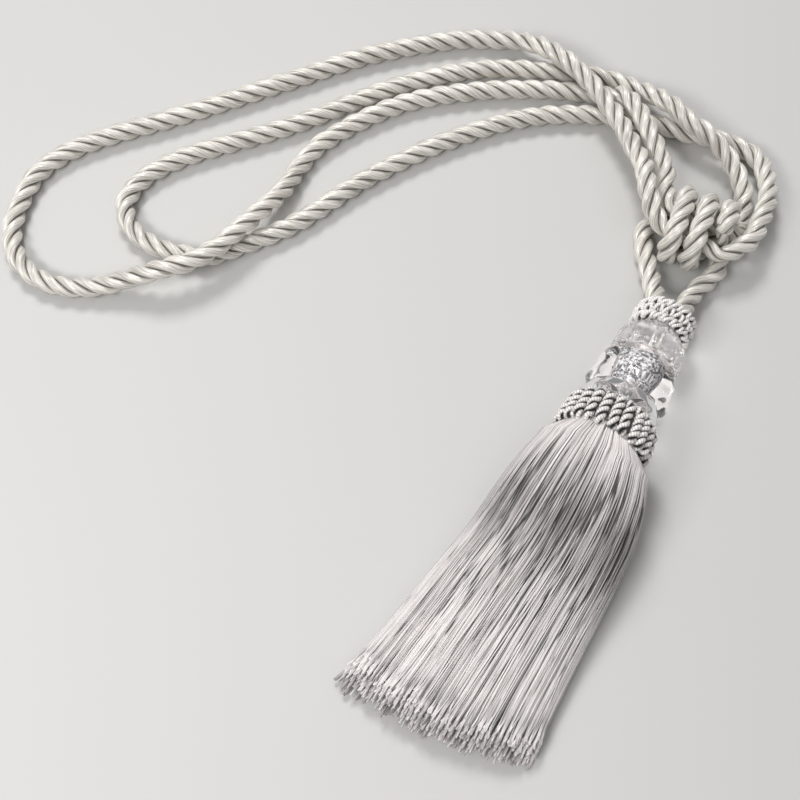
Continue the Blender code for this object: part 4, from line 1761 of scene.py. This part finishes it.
@dataclass(frozen=True)
class Shades:
    """The threads' tones, with painted shade and painted light: 0 is the dark finish, 1 the light one.

    Attributes:
        base: the usual tone.
        uneven_lock: how unevenly toned the locks are.
        uneven_thread: and the threads in a lock.
        bright_share: the share of threads that are brightest.
        brightest: their tone.
        shown_up: how far up a thread starts to be seen.
        shown_ease: how much further up it is fully seen.
        under: how far up a thread at the underside stops being seen.
        under_ease: how much further up it is fully hidden.
        side: how far to the side a thread is fully seen.
        side_ease: how much further in it is hidden.
        hidden: how much darker a hidden thread is painted, as painted shade.
        end_light: how far from its tip even a hidden thread is as light as any.
        end_ease: how much further up it is dark.
        band_y: the middle of the soft band of painted shade under the trimming.
        band_width: its width from there.
        band_shade: how dark its painted shade is.
        band_patch: how unevenly dark it is across.
        band_turn: how quickly it gets lighter and darker across, in radians.
        band_start: and from which angle in the middle.
        tip: how far up a tip's own tone goes.
        tip_painted_light: painted light, how much lighter a tip is.
        tip_uneven: how unevenly light the tufts are: partly their own tone, partly painted shade that darkens
            some tufts like gaps.
        above_tip: where painted shade darkens the threads above the tips.
        above_width: how far that goes.
        above_shade: how dark that painted shade is.
    """

    base: float = 0.79
    uneven_lock: float = 0.06
    uneven_thread: float = 0.11
    bright_share: float = 0.08
    brightest: float = 1.1
    shown_up: float = 0.62
    shown_ease: float = 0.3
    under: float = 0.08
    under_ease: float = 0.12
    side: float = 0.985
    side_ease: float = 0.1
    hidden: float = 0.9
    end_light: float = 0.3 * MM
    end_ease: float = 1.4 * MM
    band_y: float = -10.0 * MM
    band_width: float = 20.0 * MM
    band_shade: float = 0.5
    band_patch: float = 0.2
    band_turn: float = 9.0
    band_start: float = 1.0
    tip: float = 1.8 * MM
    tip_painted_light: float = 0.15
    tip_uneven: float = 0.45
    above_tip: float = 7.0 * MM
    above_width: float = 4.0 * MM
    above_shade: float = 0.25

    def shaded(
        self, tones: np.ndarray, strands: Strands, lines: np.ndarray, tuft: np.ndarray
    ) -> np.ndarray:
        """The tones after painted shade on hidden threads, a painted dark band, painted light on the tips and
        painted shade above them.

        Args:
            tones: each thread's own tone.
            strands: the threads.
            lines: their points, as (thread, ring, 3).
            tuft: each thread's number for its tuft, from -1 to 1.

        Returns:
            The tones, as (thread, ring).
        """
        # Painted shade: threads away from the top, the underside near the root and the sides are darkened,
        # except near their tips.
        hidden = 1 - ramp(strands.upward, self.shown_up, self.shown_ease)
        hidden *= ramp(strands.upward, self.under, self.under_ease)
        hidden *= np.clip((self.side - np.abs(strands.sideways)) / self.side_ease, 0, 1)
        to_tip = from_tip(lines)
        inside = ramp(to_tip, self.end_light, self.end_ease)
        shaded = tones[:, None] * (1 - self.hidden * hidden[:, None] * inside)
        # Painted shade: a soft dark band across the skirt below the trimming, patchy from side to side.
        band = self.band_shade * bell(lines[..., 1], self.band_y, self.band_width)
        wave = np.sin(strands.sideways * self.band_turn + self.band_start)[:, None]
        # Painted light on the tips, with each tuft lighter or darker: partly its own tone, partly painted
        # shade.
        near_tip = np.clip(1 - to_tip / self.tip, 0, 1)
        shaded = shaded - band * (1 - self.band_patch + self.band_patch * wave)
        shaded = shaded + near_tip * (self.tip_painted_light + self.tip_uneven * tuft[:, None])
        # Painted shade a little above the tips.
        return shaded - self.above_shade * bell(to_tip, self.above_tip, self.above_width)


@dataclass(frozen=True)
class Partings:
    """Short narrow gaps between the skin's threads, sunk a little and darkened with painted shade.

    Attributes:
        count: how many there are.
        first: the first one's place along Y.
        run: how far down from there the last one is.
        leaning: the two numbers of the draw of a place, more often near the first.
        between: the least and the most place across, from the left edge (0) to the right (1).
        long: the least and the most of half a gap's length, in millimetres.
        long_change: its share at the first place, and how much less it is at the last.
        wide: the least and the most of half its width, in millimetres.
        wide_change: its share at the first place, and how much less it is at the last.
        narrowest: the least share of its length's bow that its width takes.
        steep: the power by which its sides fall.
        deep: its depth.
        dark: how dark it is.
        spread: how much wider than the gap the dark is.
    """

    count: int = 210
    first: float = 17.0 * MM
    run: float = 118.0 * MM
    leaning: tuple[float, float] = (1.2, 2.4)
    between: tuple[float, float] = (0.03, 0.97)
    long: tuple[float, float] = (4.0, 11.0)
    long_change: tuple[float, float] = (1.15, 0.4)
    wide: tuple[float, float] = (0.18, 0.36)
    wide_change: tuple[float, float] = (1.2, 0.5)
    narrowest: float = 1e-3
    steep: float = 6
    deep: float = 0.7 * MM
    # dark: how dark its painted shade is.
    dark: float = 0.9
    # spread: how much wider than the gap the painted shade is.
    spread: float = 1.5

    def open(
        self, chance: np.random.Generator, skirt: Skirt, points: np.ndarray, tones: np.ndarray
    ) -> None:
        """Opens the gaps.

        Args:
            chance: the source of unevenness.
            skirt: the skirt, for its outline.
            points: the skin's points, as (thread, ring, 3), which it moves.
            tones: their tones, as (thread, ring), which it darkens with painted shade.
        """
        for _ in range(self.count):
            share = chance.beta(*self.leaning)
            y = self.first - share * self.run
            left, right = skirt.outline(np.array(y))[:2]
            ring = int(np.argmin(np.abs(points[..., 1].mean(axis=0) - y)))
            x = left + (right - left) * chance.uniform(*self.between)
            beside = points[np.argmin(np.abs(points[:, ring, 0] - x)), :, 0]
            long = chance.uniform(*self.long) * MM * (self.long_change[0] - self.long_change[1] * share)
            wide = chance.uniform(*self.wide) * MM * (self.wide_change[0] - self.wide_change[1] * share)
            away = points[..., 0] - beside
            bow = np.clip(1 - ((points[..., 1] - y) / long) ** 2, 0.0, 1.0)
            near = bow * np.exp(-((away / (wide * np.sqrt(np.maximum(bow, self.narrowest)))) ** self.steep))
            points[..., 2] -= self.deep * near
            # Painted shade: the gap's threads are darkened as well as sunk.
            tones *= 1 - self.dark * np.minimum(self.spread * near, 1.0)


def from_tip(lines: np.ndarray) -> np.ndarray:
    """Each point's distance from its own line's last point."""
    return np.linalg.norm(lines - lines[:, -1:], axis=2)


@dataclass(frozen=True)
class Strands:
    """The skirt's threads, with one number each.

    Attributes:
        sideways: from -1 at the left edge to 1 at the right.
        upward: from 0 at the underside to 1 at the top.
        lock: the number of its lock.
    """

    sideways: np.ndarray
    upward: np.ndarray
    lock: np.ndarray


@dataclass
class Skirt:
    """The tassel's skirt: thousands of silky threads in locks, fanned out and cut off raggedly.

    Attributes:
        node: the node that it stands for.
        sections: its outline, from the root to the cut end.
        root_radius: radius of the bound bundle.
        root_y: where the threads come out of it.
        root_along: places along the head of the threads' first two rings, in the bundle.
        edge_up: height of the flattened skirt's sides.
        edge: the furthest place to the side that the outline is worked out for.
        threads: how many threads there are.
        crowding: how much closer they are to each other at the sides: half the sine's angle.
        skin_share: the share of them that lies in the upper skin.
        skin_depth: how thick that skin is, as a share of the skirt's height.
        skin_ease: the power by which its threads are nearer its top.
        inner_top: how far up the other threads go.
        locks: how many locks they are grouped in, side by side.
        layers: and one over the other.
        lock_stray: how far past its lock a thread may be, as a share of the width.
        thread_radius: radius of a thread.
        clearance: a thread's least height over the surface, as a share of its radius.
        sides: sides of a thread.
        frayed: how much thicker the last two rings of a frayed tip are.
        rings: rings of points along a thread of the upper skin.
        inner_rings: and along one further in.
        cut: its cut end.
        waves: how the threads leave a straight run.
        tufts: the tufts of their tips.
        shades: their tones, with painted shade and painted light.
        partings: the gaps between them, darkened with painted shade.
        pieces: how many pieces the skin's threads are kept in.
        seed: picks the unevenness.
    """

    node: str = "skirt"
    sections: tuple[Section, ...] = (
        Section(24 * MM, -19.6 * MM, 32.6 * MM, 0.5 * MM, 46.2 * MM, 1.0),
        Section(15 * MM, -22.6 * MM, 36.6 * MM, 0.0, 44.6 * MM, 0.7),
        Section(2 * MM, -25.2 * MM, 40.0 * MM, 0.0, 40.0 * MM, 0.36),
        Section(-22 * MM, -27.6 * MM, 41.6 * MM, 0.0, 31.0 * MM, 0.12),
        Section(-45 * MM, -31.6 * MM, 41.5 * MM, 0.0, 25.2 * MM, 0.04),
        Section(-75 * MM, -36.9 * MM, 42.0 * MM, 0.0, 19.8 * MM, 0.0),
        Section(-110 * MM, -43.9 * MM, 43.9 * MM, 0.0, 14.0 * MM, 0.0),
    )
    root_radius: float = 19.0 * MM
    root_y: float = 25.5 * MM
    root_along: tuple[float, float] = (2.6 * MM, 0.4 * MM)
    edge_up: float = 4.0 * MM
    edge: float = 0.998
    threads: int = 3700
    crowding: float = 1.3
    skin_share: float = 0.54
    skin_depth: float = 0.17
    skin_ease: float = 1.1
    inner_top: float = 0.95
    locks: int = 150
    layers: int = 6
    lock_stray: float = 0.004
    thread_radius: float = 0.37 * MM
    clearance: float = 1.02
    sides: int = 3
    frayed: tuple[float, float] = (0.245, 0.7)
    rings: int = 44
    inner_rings: int = 18
    cut: CutEnd = CutEnd()
    waves: Waves = Waves()
    tufts: Tufts = Tufts()
    shades: Shades = Shades()
    partings: Partings = Partings()
    pieces: int = 3
    seed: int = 7

    @property
    def skin(self) -> int:
        """How many threads lie in the upper skin: they come first."""
        return int(self.threads * self.skin_share)

    def outline(self, y: np.ndarray) -> np.ndarray:
        """The outline's five numbers at places along Y, smooth from section to section.

        Args:
            y: the places, in any shape.

        Returns:
            left, right, low, top and round, each shaped as y.
        """
        knots = np.array([section.y for section in self.sections])
        table = np.array([(s.left, s.right, s.low, s.top, s.round) for s in self.sections])
        slopes = np.gradient(table, knots, axis=0)
        held = np.clip(y, knots[-1], knots[0])
        span = np.clip(np.searchsorted(-knots, -held) - 1, 0, len(knots) - 2)
        width = (knots[span + 1] - knots[span])[..., None]
        t = ((held - knots[span])[..., None]) / width
        a, b, m0, m1 = table[span], table[span + 1], slopes[span] * width, slopes[span + 1] * width
        value = (2 * t**3 - 3 * t**2 + 1) * a + (t**3 - 2 * t**2 + t) * m0
        value = value + (3 * t**2 - 2 * t**3) * b + (t**3 - t**2) * m1
        return np.moveaxis(value, -1, 0)

    def place(self, axis: HeadAxis, y: np.ndarray, sideways: np.ndarray, upward: np.ndarray) -> np.ndarray:
        """Places in the skirt.

        Args:
            axis: the head's axis.
            y: along Y.
            sideways: from -1 at the left edge to 1 at the right.
            upward: from 0 at the underside to 1 at the top.

        Returns:
            The points, as y's shape and 3.
        """
        left, right, low, top, round_share = self.outline(y)
        held = np.clip(sideways, -self.edge, self.edge)
        bow = np.sqrt(1 - held**2)
        edge = round_share * axis.up + (1 - round_share) * self.edge_up
        over = edge + (top - edge) * bow
        under = round_share * (axis.up - (axis.up - low) * bow)
        x = (left + right) / 2 + (right - left) / 2 * held
        return np.stack([x, y, under + (over - under) * upward], axis=-1)

    def scatter(self, chance: np.random.Generator) -> Strands:
        """Draws where each thread is.

        Args:
            chance: the source of unevenness.

        Returns:
            The threads.
        """
        spread = chance.uniform(-1, 1, self.threads)
        sideways = np.sin(spread * self.crowding) / math.sin(self.crowding)
        inner = chance.uniform(0, self.inner_top, self.threads)
        outer = 1 - self.skin_depth * chance.uniform(0, 1, self.threads) ** self.skin_ease
        upward = np.where(np.arange(self.threads) < self.skin, outer, inner)
        place = (spread + 1) / 2 + chance.normal(0, self.lock_stray, self.threads)
        lock = np.clip(place * self.locks, 0, self.locks - 1).astype(int)
        layer = np.minimum(np.floor(upward * self.layers).astype(int), self.layers - 1)
        return Strands(sideways, upward, lock + self.locks * layer)

    def by_lock(self, chance: np.random.Generator, size: float, strands: Strands) -> np.ndarray:
        """An uneven number for each thread, the same for all of a lock.

        Args:
            chance: the source of unevenness.
            size: how uneven it is.
            strands: the threads.

        Returns:
            The numbers.
        """
        return chance.normal(0, size, self.layers * self.locks)[strands.lock]

    def tips(self, axis: HeadAxis, chance: np.random.Generator, strands: Strands) -> np.ndarray:
        """Where the threads end along Y.

        Args:
            axis: the head's axis.
            chance: the source of unevenness.
            strands: the threads.

        Returns:
            A place for each thread.
        """
        cut = self.cut
        level = np.full(self.threads, cut.y)
        x = self.place(axis, level, strands.sideways, strands.upward)[:, 0]
        tip = cut.y + cut.bow * (x - cut.x) ** 2
        tip = tip + self.by_lock(chance, cut.uneven_lock, strands)
        tip = tip + chance.normal(0, cut.uneven_thread, self.threads)
        staggered = ramp(strands.upward, cut.longest_up, 1 - cut.longest_up)
        tip = tip + cut.stagger * staggered**cut.stagger_ease
        tip = tip + cut.tucked_shorter * np.clip(1 - strands.upward / cut.longest_up, 0, 1)
        return np.maximum(tip, cut.y - cut.past)

    def roots(self, axis: HeadAxis, strands: Strands) -> list[np.ndarray]:
        """The threads' two first rings in the bound bundle, each as (thread, 1, 3)."""
        up = self.root_radius * np.sqrt(1 - strands.sideways**2) * (1 - 2 * strands.upward)
        flat = np.stack([strands.sideways * self.root_radius, up], axis=-1)
        made = []
        for along in self.root_along:
            level = np.full((self.threads, 1), along)
            made.append(axis.world(np.concatenate([flat, level], axis=1))[:, None])
        return made

    def run(
        self, axis: HeadAxis, chance: np.random.Generator, strands: Strands
    ) -> tuple[np.ndarray, np.ndarray]:
        """The threads' centre lines, before their tips are gathered.

        Args:
            axis: the head's axis.
            chance: the source of unevenness.
            strands: the threads.

        Returns:
            Lines as (thread, ring, 3), and for each ring how far down it is, from 0 to 1.
        """
        waves = self.waves
        share = np.linspace(0, 1, self.rings - len(self.root_along))[None]
        y = self.root_y + (self.tips(axis, chance, strands)[:, None] - self.root_y) * share
        far = np.clip((self.root_y - y) / (self.root_y - self.cut.y), 0, 1)
        across = strands.sideways[:, None] + np.zeros_like(y)
        each = (self.threads, 1)
        for size in waves.sizes:
            phase = chance.uniform(0, 2 * math.pi, each)
            long = chance.uniform(waves.least, waves.most, each)
            wander = chance.normal(0, size, each) * np.sin(2 * math.pi * y / long + phase)
            across += wander * np.clip(far * waves.ease_in, waves.at_root, 1)
        aside = self.by_lock(chance, waves.lock_aside, strands)
        aside = aside + chance.normal(0, waves.thread_aside, self.threads)
        across += aside[:, None] * far**waves.aside_ease
        up = self.by_lock(chance, waves.lock_up, strands)[:, None] * np.clip(far * waves.lock_up_ease, 0, 1)
        lifted = strands.upward[:, None] + up
        lifted = lifted + chance.normal(0, waves.thread_up, self.threads)[:, None] * far
        stations = self.place(axis, y, across, np.clip(lifted, waves.lowest, waves.highest))
        down = np.clip(far.mean(axis=0), 0, 1)
        lines = np.concatenate([*self.roots(axis, strands), stations], axis=1)
        return lines, np.concatenate([down[:1], down[:1], down])

    def own_tones(self, chance: np.random.Generator, strands: Strands) -> np.ndarray:
        """Each thread's own tone.

        Args:
            chance: the source of unevenness.
            strands: the threads.

        Returns:
            The tones.
        """
        shades = self.shades
        tones = shades.base + self.by_lock(chance, shades.uneven_lock, strands)
        tones = tones + chance.normal(0, shades.uneven_thread, self.threads)
        bright = chance.uniform(0, 1, self.threads) < shades.bright_share
        return np.where(bright, shades.brightest, tones)

    def centre_lines(self, axis: HeadAxis) -> tuple[np.ndarray, np.ndarray, np.ndarray]:
        """The threads' centre lines, their tones and where they are across.

        Args:
            axis: the head's axis.

        Returns:
            Lines as (thread, ring, 3), tones as (thread, ring) and sideways places as (thread,).
        """
        chance = np.random.default_rng(self.seed)
        tufts = self.tufts
        strands = self.scatter(chance)
        lines, down = self.run(axis, chance, strands)
        tuft = tufts.gather(chance, lines)
        lines[..., 1] += (tuft * tufts.stagger)[:, None] * down
        lines[:, -1] += chance.normal(0, tufts.stray, (self.threads, 3)) * np.array(tufts.stray_share)
        tones = self.shades.shaded(self.own_tones(chance, strands), strands, lines, tuft)
        self.partings.open(chance, self, lines[: self.skin], tones[: self.skin])
        lines[..., 2] = np.maximum(lines[..., 2], self.thread_radius * self.clearance)
        return lines, np.clip(tones, 0.0, self.shades.brightest), strands.sideways

    def build(self, axis: HeadAxis) -> list[bpy.types.Object]:
        """Makes the threads, in a few pieces side by side, and ties them to the part.

        Args:
            axis: the head's axis.

        Returns:
            The pieces.
        """
        dressed = SilkyThread().make()
        lines, tones, sideways = self.centre_lines(axis)
        fewer = np.unique(np.round(np.linspace(0, self.rings - 1, self.inner_rings)).astype(int))
        shares = np.array_split(np.argsort(sideways[: self.skin]), self.pieces)
        groups = [(chosen, np.arange(self.rings)) for chosen in shares]
        groups.append((np.arange(self.skin, self.threads), fewer))
        made = []
        for number, (chosen, kept) in enumerate(groups, start=1):
            name = f"skirt_threads_{number}"
            centres = lines[chosen][:, kept]
            swell = np.ones(centres.shape[1])
            swell[-2:] = 1 + np.array(self.frayed)
            swept = round_tubes(centres, self.thread_radius * swell, self.sides, (0.0, 0.0, 1.0))
            swept.rest()
            mesh = swept_mesh(name, swept, math.radians(180), tones[chosen][:, kept])
            made.append(fit_in(new_object(name, mesh, dressed), Slot.THREAD, self.node))
        return made


# ---- The studio -----------------------------------------------------------------------------------


@dataclass(frozen=True)
class SoftLight:
    """A large soft lamp, aimed at the part.

    Attributes:
        name: its name.
        place: where it is.
        width: its width.
        height: its height.
        power: its power in watts.
    """

    name: str
    place: tuple[float, float, float]
    width: float
    height: float
    power: float

    def build(self, target: Vector) -> None:
        """Adds the lamp.

        Args:
            target: the point that it is aimed at.
        """
        lamp = bpy.data.lights.new(self.name, "AREA")
        lamp.shape = "RECTANGLE"
        lamp.size = self.width
        lamp.size_y = self.height
        lamp.energy = self.power
        made = bpy.data.objects.new(self.name, lamp)
        made.location = self.place
        made.rotation_euler = (target - Vector(self.place)).to_track_quat("-Z", "Y").to_euler()
        bpy.context.scene.collection.objects.link(made)


@dataclass
class Studio:
    """A pale floor, soft light and the camera at the photograph's place.

    Attributes:
        camera_place: where the camera is.
        camera_turn: its rotation.
        lens: its focal length in millimetres.
        sensor: its sensor's width in millimetres.
        nearest: how near it still sees things.
        lamps: the soft lamps.
        sky: the surroundings' colour overhead.
        horizon: and at eye level.
        sky_strength: their strength.
        floor_size: width of the floor.
    """

    camera_place: tuple[float, float, float] = (0.00502, -0.14081, 0.4686)
    camera_turn: tuple[float, float, float] = (math.radians(21), 0.0, math.radians(30))
    lens: float = 48.06
    sensor: float = 36.0
    nearest: float = 0.01
    lamps: tuple[SoftLight, ...] = (
        SoftLight("key_light", (-0.95, 1.05, 1.6), 0.55, 0.55, 25.0),
        SoftLight("window_light", (-0.30, -0.50, 0.70), 0.5, 0.24, 4.4),
    )
    sky: Colour = (0.97, 0.98, 1.0)
    horizon: Colour = (0.34, 0.34, 0.35)
    sky_strength: float = 0.56
    floor_size: float = 6.0

    def build(self) -> None:
        """Makes the floor, the lamps, the surroundings and the camera."""
        half = self.floor_size / 2
        mesh = bpy.data.meshes.new("floor")
        corners = [(-half, -half, 0), (half, -half, 0), (half, half, 0), (-half, half, 0)]
        mesh.from_pydata(corners, [], [(0, 1, 2, 3)])
        new_object("floor", mesh, PlainFloor().make())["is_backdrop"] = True
        low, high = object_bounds()
        for lamp in self.lamps:
            lamp.build((low + high) / 2)
        world = bpy.data.worlds.new("studio")
        world.use_nodes = True
        tree = world.node_tree
        ground = tree.nodes["Background"]
        ground.inputs["Strength"].default_value = self.sky_strength
        parts = tree.nodes.new("ShaderNodeSeparateXYZ")
        tree.links.new(tree.nodes.new("ShaderNodeTexCoord").outputs["Generated"], parts.inputs[0])
        height = tree.nodes.new("ShaderNodeValToRGB")
        height.color_ramp.elements[0].color = (*self.horizon, 1.0)
        height.color_ramp.elements[1].color = (*self.sky, 1.0)
        tree.links.new(parts.outputs[2], height.inputs[0])
        tree.links.new(height.outputs[0], ground.inputs["Color"])
        bpy.context.scene.world = world
        bpy.context.scene.view_settings.view_transform = "Standard"
        seen = bpy.data.cameras.new("camera")
        seen.lens = self.lens
        seen.sensor_width = self.sensor
        seen.clip_start = self.nearest
        camera = bpy.data.objects.new("camera", seen)
        camera.location = self.camera_place
        camera.rotation_euler = self.camera_turn
        bpy.context.scene.collection.objects.link(camera)
        bpy.context.scene.camera = camera


def main() -> None:
    """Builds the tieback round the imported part, and its studio, and reports each piece."""
    logging.basicConfig(level=logging.INFO, format="%(name)s: %(message)s")
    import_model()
    axis = HeadAxis()
    pieces = [*Cords().build(), *Beads().build(axis), *Trimmings().build(axis), *Skirt().build(axis)]
    for piece in pieces:
        LOG.info("%s: %d faces", piece.name, len(piece.data.polygons))
    Studio().build()


if __name__ == "__main__":
    main()
